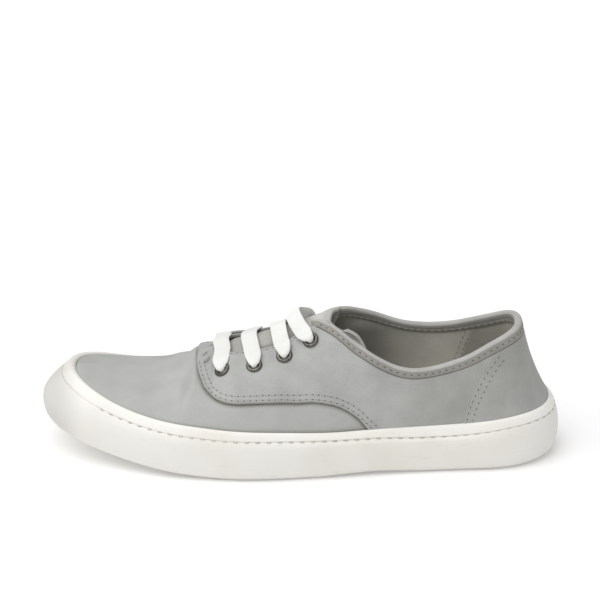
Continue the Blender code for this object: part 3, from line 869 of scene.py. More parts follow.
# How dark each step of the sole's profile is made: painted shade in the groove, at the cup's inner edge and
# down the side below the bright top bead, which also darkens towards the bottom edge.
SOLE_SHADE_AND_DIRT = rows_of(
    "at shade",
    (0, 0.32), (0.8, 0.22), (1.6, 0.15), (5.2, 0.08), (5.9, 0.13), (6.4, 0.13), (7, 0), (9, 0), (9.5, 0.04),
    (10, 0.25))


def across_ring(ring: Array, count: int) -> Array:
    """Fill a ring with a sheet of straight lines, from each lateral point across to the medial one.

    Args:
        ring: The ring's points, from the toe along the lateral side to the heel and back.
        count: How many points each line has.

    Returns:
        The sheet.
    """
    half = np.arange(len(ring) // 2 + 1)
    share = np.linspace(0, 1, count)[None, :, None]
    return ring[half][:, None] * (1 - share) + ring[-half % len(ring)][:, None] * share


def close_rows(count: int, drawn: float = 0.09) -> Array:
    """Return shares from 0 to 1 that are drawn closer together towards both ends."""
    share = np.linspace(0, 1, count)
    return share - drawn * np.sin(2 * np.pi * share)


@dataclass
class Cupsole:
    """The moulded cupsole: a side with a stitched groove under its rim, a cup inside and a fine tread."""

    form: ShoeForm
    rubber: Rubber
    columns: int = 640
    steps: int = 7
    across: int = 60
    floor: float = 9
    arch_start: float = 145
    arch_end: float = 205
    arch_height: float = 1.2
    arch_fade: float = 12
    tread_depth: float = 0.9
    tread_pitch: float = 9.5
    tread_wave: Span = (0.45, 0.85)
    tread_margin: float = 0.09
    tread_border: float = 0.8
    tread_front: Span = (26, 10)
    tread_back: Span = (258, 8)
    zigzag: float = 3.2
    zigzag_pitch: float = 11.0
    waist_fade: float = 12
    groove_start: float = 35
    groove_points: int = 900
    thread_out: float = 0.15
    # Painted shade on the toe's front, inside the cup, and on the underside and the cup's floor.
    toe_shade: float = 0.22
    toe_shade_end: Span = (30, 18)
    cup_shade: float = 0.6
    flat_shade: float = 0.12

    def arch(self, x: Array, n: Array) -> Array:
        """Return how far the waist of the sole is lifted, fading out up its side."""
        share = np.clip((x - self.arch_start) / (self.arch_end - self.arch_start), 0, 1)
        return self.arch_height * np.sin(np.pi * share) ** 2 * np.clip(1 - n / self.arch_fade, 0, 1)

    def ring(self, at: float, around: Array, height: float | None = None) -> Array:
        """Work out one ring of the sole's side.

        Args:
            at: A step of the side's profile.
            around: Places around the ring.
            height: A height to use in place of the profile's own.

        Returns:
            The ring's points.
        """
        row = {name: float(curve(SOLE_SIDE, "at", name, np.array(at))) for name in SOLE_SIDE}
        x, y = self.form.outline(around, row["inset"], row["toe_inset"], row["heel_inset"])
        rim, groove = curves(RIM, "station", "height groove", x)
        n = row["height"] + row["from_rim"] * rim - row["from_groove"] * groove if height is None else height
        return self.form.bend(x, y, n + self.arch(x, np.asarray(n, float)))

    def tread(self, bottom: Array) -> Array:
        """Work out how deep the tread is cut: zigzag channels, plain along the edge and under the waist.

        Args:
            bottom: The sole's flat underside.

        Returns:
            The depth at each of its points.
        """
        x, y = bottom[..., 0], bottom[..., 1]
        zigzag = self.zigzag * np.abs(np.mod(y / self.zigzag_pitch, 2) - 1)
        level, rise = self.tread_wave
        channel = ease(level + rise * np.cos(2 * np.pi * (x + zigzag) / self.tread_pitch))
        share = np.linspace(0, 1, bottom.shape[1])
        inside = ease(np.minimum(share, 1 - share) / self.tread_margin - self.tread_border)
        fade = self.waist_fade
        waist = 1 - past(x, self.arch_start, fade) * before(x, self.arch_end, fade)
        ends = past(x, *self.tread_front) * before(x, *self.tread_back)
        return self.tread_depth * channel * inside * waist * ends

    def groove(self) -> tuple[Array, Array]:
        """Follow the stitched groove from one side of the toe round the heel to the other.

        Returns:
            The groove's line and the directions out of it.
        """
        start = self.form.around_at(self.groove_start)
        line = self.ring(SOLE_GROOVE, np.linspace(start, 2 - start, self.groove_points))
        out = unit(np.cross(np.gradient(line, axis=0), np.array([0, 0, 1.0])))
        return line + out * self.thread_out, out

    def build(self) -> bpy.types.Object:
        """Build the side rings, the treaded underside and the floor of the cup as one closed piece.

        Returns:
            The piece.
        """
        around = np.arange(self.columns) * 2 / self.columns
        last = SOLE_SIDE["at"][-1]
        at = np.linspace(0, last, int(last) * self.steps + 1)
        side = np.stack([self.ring(k, around) for k in at] + [self.ring(last, around, self.floor)], 1)
        # Painted shade down the side, inside the cup and on the toe's front; the underside and the cup's
        # floor get a little.
        shade = np.append(np.interp(at, SOLE_SHADE_AND_DIRT["at"], SOLE_SHADE_AND_DIRT["shade"]), self.cup_shade)
        shade = shade + self.toe_shade * before(side[..., 0], *self.toe_shade_end)
        bottom, floor = (across_ring(side[:, k], self.across) for k in (0, -1))
        bottom[..., 2] += self.tread(bottom)
        draft = MeshDraft()
        draft.add_grid(side, closed=True, shade=shade)
        draft.add_grid(bottom, turned=True, shade=self.flat_shade)
        draft.add_grid(floor, shade=self.flat_shade)
        piece = draft.build("sole_rubber", self.form, self.rubber.material())
        return dressed(piece, "offwhite_rubber", "cupsole")


@dataclass
class Insole:
    """The pad inside the shoe, rolled up a little at its edge and worn hollow under the heel."""

    form: ShoeForm
    cloth: Cloth
    foot: float = 9.3
    thickness: float = 4.5
    inset: float = 8.2
    edge: float = 1.3
    edge_steps: int = 6
    columns: int = 260
    across: int = 40
    hollow: float = 0.9
    hollow_at: float = 232
    hollow_length: float = 24

    def build(self) -> bpy.types.Object:
        """Build the pad as an edge ring between a top and an underside.

        Returns:
            The piece.
        """
        around = np.arange(self.columns) * 2 / self.columns
        turn = np.linspace(0, np.pi / 2, self.edge_steps)
        insets = np.append(self.inset, self.inset + self.edge * (1 - np.cos(turn)))
        heights = np.append(self.foot, self.foot + self.thickness - self.edge + self.edge * np.sin(turn))
        rings = [self.form.foot_ring(around, inset) for inset in insets]
        side = np.stack([self.form.bend(*ring, height) for ring, height in zip(rings, heights)], 1)
        bottom, top = (across_ring(side[:, k], self.across) for k in (0, -1))
        worn = np.sin(np.pi * np.linspace(0, 1, self.across)) ** 2
        top[..., 2] -= self.hollow * (bell(top[..., 0] - self.hollow_at, self.hollow_length) * worn)
        draft = MeshDraft()
        draft.add_grid(side, closed=True)
        draft.add_grid(bottom, turned=True)
        draft.add_grid(top)
        piece = draft.build("insole_pad", self.form, self.cloth.material())
        return dressed(piece, "lining_cloth", "insole")


@dataclass(frozen=True)
class Crease:
    """A soft fold in the canvas, placed along a few listed places on the wall.

    A place is the x of the wall's foot and a height on the wall. Depth is below 0 for a trough and above 0
    for a ridge. Width is how far the fold spreads to each side.
    """

    depth: float
    width: float
    places: tuple[Span, ...]
    side: Side = Side.LATERAL
    points: int = 40
    tip: float = 0.02
    fade: float = 0.7

    def lift(self, form: ShoeForm, wall: Array) -> Array:
        """Work out how far the fold lifts the wall: a bell across it, fading to both its ends.

        Args:
            form: The shoe's form.
            wall: Points of the wall.

        Returns:
            The lift of each point.
        """
        foot_x, up = np.array(self.places).T
        line = form.wall(self.side.turn(form.around_at(foot_x)), up)
        gap, share = nearest(wall, smooth_line(line, self.points))
        along = np.sin(np.pi * np.clip(share, self.tip, 1 - self.tip)) ** self.fade
        return self.depth * bell(gap, self.width) * along


EYELET_HOLE = 3.0
EYELET_REACH = 8


def eyelet_places(form: ShoeForm, side: Side) -> tuple[Array, Array]:
    """Return the places of one side's eyelets, from the toe end back."""
    return side.turn(form.around_at(EYELETS["foot_x"])), EYELETS["up"]


def clear_of_eyelets(form: ShoeForm, points: Array) -> Array:
    """Find the faces of a grid that lie clear of the eyelets' holes.

    Args:
        form: The shoe's form.
        points: The grid.

    Returns:
        Whether each face is clear.
    """
    middles = (points[:-1, :-1] + points[1:, :-1] + points[1:, 1:] + points[:-1, 1:]) / 4
    clear = np.ones(middles.shape[:2], bool)
    for side in Side:
        places = eyelet_places(form, side)
        for centre, axis in zip(form.wall(*places), form.directions(*places)[1]):
            away = middles - centre
            off_axis = np.linalg.norm(away - (away @ axis)[..., None] * axis, axis=-1)
            clear &= (off_axis > EYELET_HOLE) | (np.abs(away @ axis) > EYELET_REACH)
    return clear


CREASES = (
    Crease(-1.25, 2.3, ((74.5, 0.30), (75.5, 0.50), (76.5, 0.70), (77.5, 0.88))),
    Crease(0.75, 2.4, ((78.0, 0.28), (79.0, 0.48), (80.2, 0.68), (81.0, 0.86))),
    Crease(-0.70, 1.6, ((84.0, 0.50), (82.6, 0.66), (81.2, 0.80), (80.6, 0.93))),
    Crease(0.50, 4.5, ((62.0, 0.42), (64.0, 0.62), (66.0, 0.80), (67.0, 0.94))),
    Crease(-0.45, 5.0, ((50.0, 0.34), (53.0, 0.56), (55.0, 0.76))),
    Crease(-0.40, 4.0, ((100.0, 0.06), (112.0, 0.16), (124.0, 0.20), (138.0, 0.14))),
    Crease(-0.90, 2.6, ((72.5, 0.28), (74.0, 0.50), (75.5, 0.70), (77.0, 0.86)), Side.MEDIAL),
    Crease(0.60, 2.8, ((78.0, 0.28), (79.5, 0.48), (80.6, 0.68), (81.4, 0.82)), Side.MEDIAL),
    Crease(-0.40, 4.5, ((58.0, 0.36), (61.0, 0.58), (63.0, 0.78)), Side.MEDIAL),
)
PANEL_CREASES = (
    Crease(-0.7, 0.9, ((84.0, 0.870), (85.8, 0.900), (87.6, 0.930))),
    Crease(-0.7, 0.9, ((86.2, 0.755), (88.0, 0.805), (89.8, 0.855))),
    Crease(-0.5, 0.9, ((86.4, 0.755), (88.2, 0.800), (90.0, 0.845)), Side.MEDIAL),
)


@dataclass(frozen=True)
class SeamLine:
    """A row of stitching on the wall: its places, how far out the cloth lies, and its stitches."""

    around: Array
    up: Array
    out: float
    pitch: float = 3.1
    pressed: float = 0.22

    def points(self, form: ShoeForm, count: int = 240) -> Array:
        """Return points spread evenly along the row."""
        return spread(form.skin(self.around, self.up, self.out), count)

    def mirrored(self) -> "SeamLine":
        """Return the same row on the other side of the shoe."""
        return replace(self, around=2 - self.around)


LINING_SEAM = rows_of(
    "up foot_x",
    (0.12, 222), (0.25, 223.5), (0.40, 226.5), (0.60, 230.5), (0.80, 235), (0.90, 237))
# Painted shade inside the front of the shoe, on the lining and the inside of the collar tape.
INNER_SHADE = 0.7
INNER_SHADE_END = (176, 20)


@dataclass
class Upper:
    """The canvas shell with its soft creases, and the lining inside it."""

    form: ShoeForm
    canvas: Cloth
    lining: Cloth
    panel_edges: tuple[Array, ...]
    columns: int = 620
    rows: int = 58
    rows_drawn: float = 0.06
    skirt: float = 9.4
    canvas_thickness: float = 0.95
    foot_fade: float = 0.08
    top_fade: float = 0.05
    # Painted shade on the canvas: the skirt inside the cup, a line along the foot with some dust, the
    # creases' troughs and under the side panels' edges.
    skirt_shade: float = 0.6
    foot_shade: float = 0.25
    foot_shade_up: float = 0.03
    crease_shade: float = 0.09
    edge_shade: float = 0.8
    edge_reach: float = 1.1
    lining_columns: int = 400
    lining_rows: int = 40
    lining_gap: float = 1.05
    lining_thickness: float = 0.7
    lining_row_gap: float = 2.6
    lining_seam_points: int = 80
    ridge_reach: float = 4
    # Painted shade on the lining, low down and towards the toe; the heel piece behind its seam is made
    # darker.
    low_shade: Span = (0.16, 0.5)
    low_shade_top: Span = (64, 12)
    low_shade_end: Span = (214, 40)
    heel_shade: float = 0.25
    heel_darkening_over: float = 1.5

    def wall_grid(self, columns: int, up: Array, out: float) -> tuple[Array, Array, Array]:
        """Work out the wall as a closed grid, and what the creases do to it.

        Args:
            columns: How many columns stand around the shoe.
            up: The heights of the rows.
            out: How far out from the wall the grid lies.

        Returns:
            The points, the directions straight out of the wall, and how far the creases lift each point.
        """
        around = np.arange(columns)[:, None] * 2 / columns
        points = self.form.skin(around, up[None, :], out)
        lift = sum(crease.lift(self.form, points) for crease in CREASES)
        return points, self.form.directions(around, up[None, :])[1], lift

    def meet_on_ridge(self, sheet: Array) -> None:
        """Draw the two sides' top edges together where the vamp has no gap between them.

        Args:
            sheet: The grid, which is changed in place.
        """
        other = sheet[-np.arange(len(sheet)) % len(sheet), -1]
        touching = np.linalg.norm(sheet[:, -1] - other, axis=-1) < self.ridge_reach * self.lining_gap
        chosen = touching & (sheet[:, -1, 0] < self.form.throat)
        sheet[chosen, -1] = ((sheet[:, -1] + other) / 2)[chosen]

    def shell(self, name: str, sheet: Array, shade: Array, cloth: Cloth,
              thickness: float) -> bpy.types.Object:
        """Build a closed grid as a thin shell with holes for the eyelets.

        Args:
            name: The piece's name.
            sheet: The grid of its outer face.
            shade: The shade of each point.
            cloth: Its cloth.
            thickness: Its thickness.

        Returns:
            The piece.
        """
        keep = clear_of_eyelets(self.form, np.concatenate([sheet, sheet[:1]], 0))
        draft = MeshDraft()
        draft.add_grid(sheet, closed=True, shade=shade, keep=keep)
        piece = draft.build(name, self.form, cloth.material())
        thicken(piece, thickness)
        return piece

    def build_canvas(self) -> bpy.types.Object:
        """Build the canvas, creased, with a skirt that runs down inside the cup.

        Returns:
            The piece.
        """
        up = close_rows(self.rows, self.rows_drawn)
        points, straight_out, lift = self.wall_grid(self.columns, up, 0)
        fade = past(up, 0, self.foot_fade) * before(up, 1, self.top_fade)
        ring = self.form.foot_ring(np.arange(self.columns) * 2 / self.columns, self.form.inset)
        skirt = self.form.bend(*ring, self.skirt)
        sheet = np.concatenate([skirt[:, None], points + straight_out * (lift * fade)[..., None]], 1)
        self.meet_on_ridge(sheet)
        # Painted shade: the skirt, the foot, the creases' troughs and under the side panels' edges.
        shade = np.append(self.skirt_shade, self.foot_shade * bell(up, self.foot_shade_up))
        shade = shade + np.pad(np.maximum(-lift, 0) * self.crease_shade, ((0, 0), (1, 0)))
        for edge in self.panel_edges:
            shade = np.maximum(shade, self.edge_shade * bell(gap_to(sheet, edge), self.edge_reach))
        piece = self.shell("upper_canvas", sheet, shade, self.canvas, self.canvas_thickness)
        return dressed(piece, "grey_canvas", "upper")

    def build_lining(self) -> bpy.types.Object:
        """Build the lining, which gives way to the creases and has painted shade towards the toe and the
        insole.

        Returns:
            The piece.
        """
        up = np.linspace(0, 1, self.lining_rows)
        points, straight_out, lift = self.wall_grid(self.lining_columns, up, -self.lining_gap)
        sheet = points + straight_out * (np.minimum(lift, 0) * before(up, 1, self.top_fade))[..., None]
        self.meet_on_ridge(sheet)
        # Painted shade low down and at the front; the heel piece is made darker behind the seam.
        least, more = self.low_shade
        low = before(sheet[..., 2], *self.low_shade_top)
        low = low * (least + more * before(sheet[..., 0], *self.low_shade_end))
        front = INNER_SHADE * before(sheet[..., 0], *INNER_SHADE_END)
        foot_x = self.form.foot_at(np.arange(self.lining_columns) * 2 / self.lining_columns)[:, None]
        seam_x = np.interp(up, LINING_SEAM["up"], LINING_SEAM["foot_x"])
        shade = np.maximum(low, front) + self.heel_shade * past(foot_x, seam_x, self.heel_darkening_over)
        piece = self.shell("upper_lining", sheet, shade, self.lining, self.lining_thickness)
        return dressed(piece, "lining_cloth")

    def lining_seams(self) -> list[SeamLine]:
        """Lay the two rows that hold the lining's heel piece, on both sides.

        Returns:
            The rows.
        """
        foot_x = np.linspace(LINING_SEAM["foot_x"][0], LINING_SEAM["foot_x"][-1], self.lining_seam_points)
        up = np.interp(foot_x, LINING_SEAM["foot_x"], LINING_SEAM["up"])
        row = SeamLine(self.form.around_at(foot_x), up, -self.lining_gap - self.lining_thickness, pressed=0.0)
        around, up = self.form.beside(row.around, row.up, self.lining_row_gap)
        beside = replace(row, around=around, up=up)
        return [row, beside, row.mirrored(), beside.mirrored()]

    def build(self) -> list[bpy.types.Object]:
        """Return the canvas and the lining, built as two thin shells with holes for the eyelets."""
        return [self.build_canvas(), self.build_lining()]


UNDER_BAND = 9.0
UNDER_BAND_GAP = -0.1
SEAM_END = 15
PANEL_FOOT = -0.02
PANEL_BACK_SHADE = 0.5
QUARTER = rows_of(
    "at foot_x foot_up top_x top_depth bow",
    (0, 79.6, 1.0, 80.2, 0, 0), (1, 80.6, 0.835, 86.5, 0, 0), (2, 82.4, 0.690, 91.5, 0.4, 0),
    (3, 84.6, 0.590, 94.5, 0.5, 0), (4, 87.6, 0.487, 98, 0.5, 0), (5, 94.4, 0.387, 103, 0.5, 0),
    (6, 104, 0.348, 110, 0.5, 0), (7, 115.5, 0.349, 118, 0.5, 0), (8, 124, 0.344, 126, 0.5, 0),
    (9, 133.2, 0.330, 134, 0.5, 0), (10, 142.4, 0.299, 143, 0.5, 0), (11, 148.4, 0.274, 148.5, 0.5, 0),
    (12, 153, 0.256, 151.6, 0.5, 0), (13, 157.6, 0.236, 152, UNDER_BAND, 0),
    (14, 162.8, 0.199, 161, UNDER_BAND, 0), (15, 168.6, 0.128, 170, UNDER_BAND, 0),
    (16, 175, PANEL_FOOT, 179, UNDER_BAND, 0), (17, 184, PANEL_FOOT, 188, UNDER_BAND, 0),
    (18, 192, PANEL_FOOT, 197.5, UNDER_BAND, 0), (19, 199, PANEL_FOOT, 207, UNDER_BAND, 0.5),
    (20, 205.5, PANEL_FOOT, 216.5, UNDER_BAND, 1.2), (21, 212, PANEL_FOOT, 226.5, UNDER_BAND, 2.2),
    (22, 218, PANEL_FOOT, 236.5, UNDER_BAND, 3.4), (23, 222.8, PANEL_FOOT, 245.6, UNDER_BAND, 4.6))


def bowed(share: Array, back: float = 0.9, power: float = 10) -> Array:
    """Return how a panel's upright line bows up its height: forward in the middle, back at the top."""
    return back * share ** power - 4 * share * (1 - share)


def edge_distance(points: Array, open_top: Array | None = None) -> Array:
    """Measure how far each point of a grid is from its nearest border, along the grid's lines.

    Args:
        points: The grid.
        open_top: Which of its columns run on past the top, so that their top isn't a border.

    Returns:
        The distances.
    """
    along, up = lengths_along(points), lengths_across(points)
    below_top = up[:, -1:] - up
    if open_top is not None:
        below_top = np.where(open_top[:, None], np.inf, below_top)
    return np.minimum(np.minimum(along, along[-1:] - along), np.minimum(up, below_top))


def rolled(distance: Array, radius: float) -> Array:
    """Return the share of the full thickness at a distance from an edge that is rounded off."""
    return np.sqrt(np.maximum(1 - (1 - np.clip(distance / radius, 0, 1)) ** 2, 0))


def pressed_in(form: ShoeForm, points: Array, seams: list[SeamLine], width: float = 0.6) -> Array:
    """Work out how far rows of stitching pull the cloth in: a narrow bell across each row.

    Args:
        form: The shoe's form.
        points: The cloth's points.
        seams: The rows.
        width: How far the pull of a row spreads to each side.

    Returns:
        The depth at each point.
    """
    depth = np.zeros(points.shape[:2])
    for seam in seams:
        depth = np.maximum(depth, seam.pressed * bell(gap_to(points, seam.points(form)), width))
    return depth


@dataclass
class Quarter:
    """A side panel with its eyestay: double canvas, rolled edges and rows of stitching along its seams."""

    form: ShoeForm
    cloth: Cloth
    side: Side
    base: float = 0.30
    thickness: float = 1.25
    edge: float = 0.9
    foot: float = PANEL_FOOT
    columns: int = 300
    rows: int = 72
    row_insets: Span = (1.5, 3.9)
    row_start: float = 1.0
    row_on: float = 1.3
    row_on_points: int = 24
    eyestay_inset: float = 1.8
    eyestay_row: Span = (2.1, 11.9)
    edge_points: int = 260
    corner_thinned: float = 0.7
    corner_end: Span = (96, 10)
    corner_up: Span = (0.75, 0.2)
    # The panel is made darker towards the heel, with painted shade along its edges.
    rear_darkening: float = 0.16
    rear_darkening_start: Span = (165, 60)
    edge_shade: float = 0.35
    edge_reach: float = 0.8

    def steps(self) -> Array:
        """Return the panel's columns as steps of its table."""
        return np.linspace(0, QUARTER["at"][-1], self.columns)

    def places(self) -> tuple[Array, Array]:
        """Lay the panel out on the lateral wall, column by column from the throat to the heel counter.

        Returns:
            The places around and the heights.
        """
        at = self.steps()
        foot_x, foot_up, bow = (part[:, None] for part in curves(QUARTER, "at", "foot_x foot_up bow", at))
        foot_up = np.maximum(foot_up, self.foot)
        top_x = np.interp(at, QUARTER["at"], QUARTER["top_x"])[:, None]
        depth = np.interp(at, QUARTER["at"], QUARTER["top_depth"])
        share = close_rows(self.rows)[None, :]
        around = self.form.around_at(foot_x + (top_x - foot_x) * share + bow * bowed(share))
        depth = np.minimum(depth, self.form.band_at(around[:, -1]) + UNDER_BAND_GAP)
        top_up = self.form.up_at_depth(around[:, -1], depth)[:, None]
        return around, foot_up + (top_up - foot_up) * share

    def seams(self) -> list[SeamLine]:
        """Lay the rows of stitching: two along the vamp seam and one along the eyestay's edge.

        Returns:
            The rows.
        """
        around, up = self.places()
        at = self.steps()
        foot = (at > self.row_start) & (at < SEAM_END)
        stay = (at > self.eyestay_row[0]) & (at < self.eyestay_row[1])
        out = self.base + self.thickness
        on = np.linspace(0, self.row_on, self.row_on_points)[1:]
        last_x, next_x = QUARTER["foot_x"][SEAM_END:SEAM_END + 2]
        last_up, next_up = QUARTER["foot_up"][SEAM_END:SEAM_END + 2]
        seam_around = np.append(around[foot, 0], self.form.around_at(last_x + (next_x - last_x) * on))
        seam_up = np.append(up[foot, 0], last_up + (next_up - last_up) * on)
        lines = []
        for inset in self.row_insets:
            row_around, row_up = self.form.beside(seam_around, seam_up, inset)
            lines.append(SeamLine(row_around[row_up > self.foot], row_up[row_up > self.foot], out))
        lines.append(SeamLine(*self.form.beside(around[stay, -1], up[stay, -1], -self.eyestay_inset), out))
        return [line.mirrored() for line in lines] if self.side is Side.MEDIAL else lines

    def foot_line(self) -> Array:
        """Return the panel's edge along the vamp seam, where it lies on the upper."""
        around, up = self.places()
        return spread(self.form.wall(self.side.turn(around[:, 0]), up[:, 0]), self.edge_points)

    def build(self) -> bpy.types.Object:
        """Build the panel as a closed slab over the wall, pressed in along its stitching.

        Returns:
            The piece.
        """
        around, up = self.places()
        around = self.side.turn(around)
        medial = self.side is Side.MEDIAL
        under = self.form.skin(around, up, self.base)
        closed = under[:, -1, 0] < self.form.throat
        away = edge_distance(under, closed)
        folds = sum(crease.lift(self.form, under) for crease in PANEL_CREASES if crease.side is self.side)
        corner = before(under[..., 0], *self.corner_end) * past(up, *self.corner_up)
        roll = rolled(away, self.edge)
        out = self.base + self.thickness * (1 - self.corner_thinned * corner) * roll + folds
        out = out - pressed_in(self.form, under, self.seams()) * roll
        over = self.form.skin(around, up, out)
        facing = self.form.skin(2 - around[:, -1], up[:, -1], out[:, -1])
        over[closed, -1] = ((over[:, -1] + facing) / 2)[closed]
        keep = clear_of_eyelets(self.form, over)
        # Painted shade in the folds and along the edges; the panel is also made darker towards the heel.
        worn = np.maximum(self.rear_darkening * past(over[..., 0], *self.rear_darkening_start), -folds)
        shade = np.maximum(self.edge_shade * bell(away, self.edge_reach), worn)
        draft = MeshDraft()
        draft.add_grid(over, turned=medial, shade=shade, keep=keep)
        draft.add_grid(under, turned=not medial, shade=PANEL_BACK_SHADE, keep=keep)
        draft.add_grid(np.stack([over[:, -1], under[:, -1]], 1), turned=medial)
        draft.add_hole_walls(over, under, keep, turned=medial)
        name = f"quarter_{self.side.value}"
        piece = draft.build(f"{name}_canvas", self.form, self.cloth.material())
        return dressed(piece, "grey_canvas_panel", name)


@dataclass
class HeelCounter:
    """The heel panel, laid over both side panels and stitched along its front edges."""

    form: ShoeForm
    cloth: Cloth
    base: float = 0.35
    thickness: float = 1.4
    edge: float = 1.0
    foot: float = PANEL_FOOT
    gap: float = -1.2
    columns: int = 230
    rows: int = 60
    row_insets: Span = (1.7, 4.9)
    # Painted shade along the edges; the panel is also made darker towards its top.
    edge_shade: float = 0.12
    edge_reach: float = 0.6
    rear_darkening: Span = (0.1, 0.14)

    def places(self) -> tuple[Array, Array]:
        """Lay the panel out from the lateral seam around the heel to the medial one.

        Returns:
            The places around and the heights.
        """
        foot_x, top_x, bow = (QUARTER[name][-1] for name in ("foot_x", "top_x", "bow"))
        share = close_rows(self.rows)
        seam_x = foot_x + self.gap + (top_x - foot_x) * share + bow * bowed(share)
        start = self.form.around_at(seam_x)[None, :]
        around = start + (2 - 2 * start) * close_rows(self.columns)[:, None]
        depth = self.form.band_at(around[:, -1]) + UNDER_BAND_GAP
        top_up = self.form.up_at_depth(around[:, -1], depth)[:, None]
        return around, self.foot + (top_up - self.foot) * share[None, :]

    def seams(self) -> list[SeamLine]:
        """Lay two rows of stitching along each front edge.

        Returns:
            The rows.
        """
        around, up = self.places()
        out = self.base + self.thickness
        lines = [SeamLine(*self.form.beside(around[0], up[0], -inset), out) for inset in self.row_insets]
        return lines + [line.mirrored() for line in lines]

    def build(self) -> bpy.types.Object:
        """Build the panel as a closed slab over the wall.

        Returns:
            The piece.
        """
        around, up = self.places()
        under = self.form.skin(around, up, self.base)
        away = edge_distance(under)
        roll = rolled(away, self.edge)
        out = self.base + self.thickness * roll - pressed_in(self.form, under, self.seams()) * roll
        # Painted shade along the edges, and darker towards the top.
        least, more = self.rear_darkening
        shade = np.maximum(self.edge_shade * bell(away, self.edge_reach), least + more * up)
        draft = MeshDraft()
        draft.add_grid(self.form.skin(around, up, out), shade=shade)
        draft.add_grid(under, turned=True, shade=PANEL_BACK_SHADE)
        piece = draft.build("heel_counter_canvas", self.form, self.cloth.material())
        return dressed(piece, "grey_canvas_panel", "heel_counter")


@dataclass
class CollarBinding:
    """The tape folded over the collar's edge, from one top eyelet around the heel to the other."""

    form: ShoeForm
    tape: Cloth
    start_x: float = 149.5
    depth: float = 7.0
    outer: float = 1.5
    inner: float = -2.4
    crown: float = 1.1
    puff: float = 0.25
    face_foot: float = 0.35
    face_top: float = 0.4
    face_steps: int = 12
    turn_steps: int = 13
    lip: Span = (0.9, 0.3)
    lip_height: float = 0.1
    fill: float = 1.0
    fill_height: float = 0.3
    press: float = 0.22
    press_width: float = 0.6
    stitch_depth: float = 3.6
    inner_stitch_depth: float = 5.2
    stitch_pitch: float = 3.6
    stitch_puff: float = 0.6
    stitch_start: float = 2
    stitch_points: int = 300
    columns: int = 320
    # Painted shade: the faces darker below the lit top of the fold, a dark line along the lower edges, and
    # shade inside at the front.
    face_shade: float = 0.46
    face_shade_from: Span = (-0.1, 1.2)
    hem_shade: float = 0.2
    hem_reach: float = 0.5
    inner_face: float = -1.8

    def section(self) -> tuple[Array, Array]:
        """Draw the tape's section as a closed loop of distances out and depths below the edge.

        It runs up the outer face, over the edge on half an ellipse, down the inner face and back between.

        Returns:
            The distances out and the depths.
        """
        down = np.linspace(self.depth - self.face_foot, self.face_top, self.face_steps)
        turn = np.linspace(0, np.pi, self.turn_steps)[1:-1]
        middle, half = (self.outer + self.inner) / 2, (self.outer - self.inner) / 2
        puff = self.puff * np.sin(np.pi * np.clip(down / self.depth, 0, 1))
        press = self.press * bell(down - self.stitch_depth, self.press_width)
        lip = np.array(self.lip)
        above = self.depth - self.lip_height
        out = np.concatenate([
            self.outer - lip, self.outer + puff - press, middle + half * np.cos(turn),
            (self.inner - puff + press)[::-1], self.inner + lip[::-1],
            [self.inner + self.fill, self.outer - self.fill, self.outer - lip[0]]])
        low = np.concatenate([
            [self.depth, above], down, self.face_top - (self.crown + self.face_top) * np.sin(turn),
            down[::-1], [above, self.depth], [-self.fill_height, -self.fill_height, self.depth]])
        return out, low

    def narrowed(self, around: Array) -> Array:
        """Return the share of the section's depth that the tape has at a place around the collar."""
        return self.form.band_at(around) / self.depth

    def seams(self) -> list[SeamLine]:
        """Lay the rows of topstitching on the outer and the inner face.

        Returns:
            The rows.
        """
        start = self.form.around_at(self.start_x + self.stitch_start)
        around = np.linspace(start, 2 - start, self.stitch_points)
        lines = []
        for depth, out in ((self.stitch_depth, self.outer), (self.inner_stitch_depth, self.inner)):
            up = self.form.up_at_depth(around, depth * self.narrowed(around))
            puffed = out + np.sign(out) * self.puff * self.stitch_puff
            lines.append(SeamLine(around, up, puffed, self.stitch_pitch))
        return lines

    def build(self) -> bpy.types.Object:
        """Build the tape as its section carried along the collar, capped at both ends.

        Returns:
            The piece.
        """
        start = self.form.around_at(self.start_x)
        around = np.linspace(start, 2 - start, self.columns)[:, None]
        out, low = self.section()
        up = self.form.up_at_depth(around, np.maximum(low, 0)[None, :] * self.narrowed(around))
        upward = self.form.directions(np.broadcast_to(around, up.shape), up)[0]
        points = self.form.skin(around, up, out) + upward * np.maximum(-low, 0)[None, :, None]
        # Painted shade below the lit top of the fold, along the lower edges and inside at the front.
        shade = self.hem_shade * bell(low - self.depth, self.hem_reach)
        shade = shade + self.face_shade * past(low, *self.face_shade_from)
        front = INNER_SHADE * before(points[..., 0], *INNER_SHADE_END) * (out < self.inner_face)
        draft = MeshDraft()
        draft.add_grid(points, shade=np.maximum(shade, front))
        draft.add_caps(points)
        piece = draft.build("collar_tape", self.form, self.tape.material())
        return dressed(piece, "binding_tape", "collar_binding")


TONGUE = rows_of(
    "foot_x depth side_up",
    (80, 3, 0.66), (100, 3, 0.62), (120, 3, 0.64), (136, 4, 0.68), (146, 6.6, 0.72))
TONGUE_END = rows_of(
    "across x flare height",
    (-1, 173, -3, 59), (-0.86, 172.3, -3, 62.2), (-0.73, 170.3, -3, 65.2), (-0.62, 167, -3.5, 68.2),
    (-0.54, 164, -3.5, 69.3), (-0.47, 160.5, -3, 69.3), (-0.4, 157, -2, 71), (-0.33, 155, -1.5, 72.6),
    (-0.2, 155, -1, 74.3), (-0.05, 156, 0, 76), (0.1, 158, 0, 77), (0.3, 159, 0.5, 76.4), (0.5, 158, 1, 73.8),
    (0.65, 156.5, 1, 70), (0.8, 155, 1, 66), (1, 152, 1, 60))
TONGUE_CREST = rows_of(
    "x height",
    (80, 47), (88, 49), (95, 52), (103, 56.8), (117, 61.5), (133, 67.5), (145, 73))


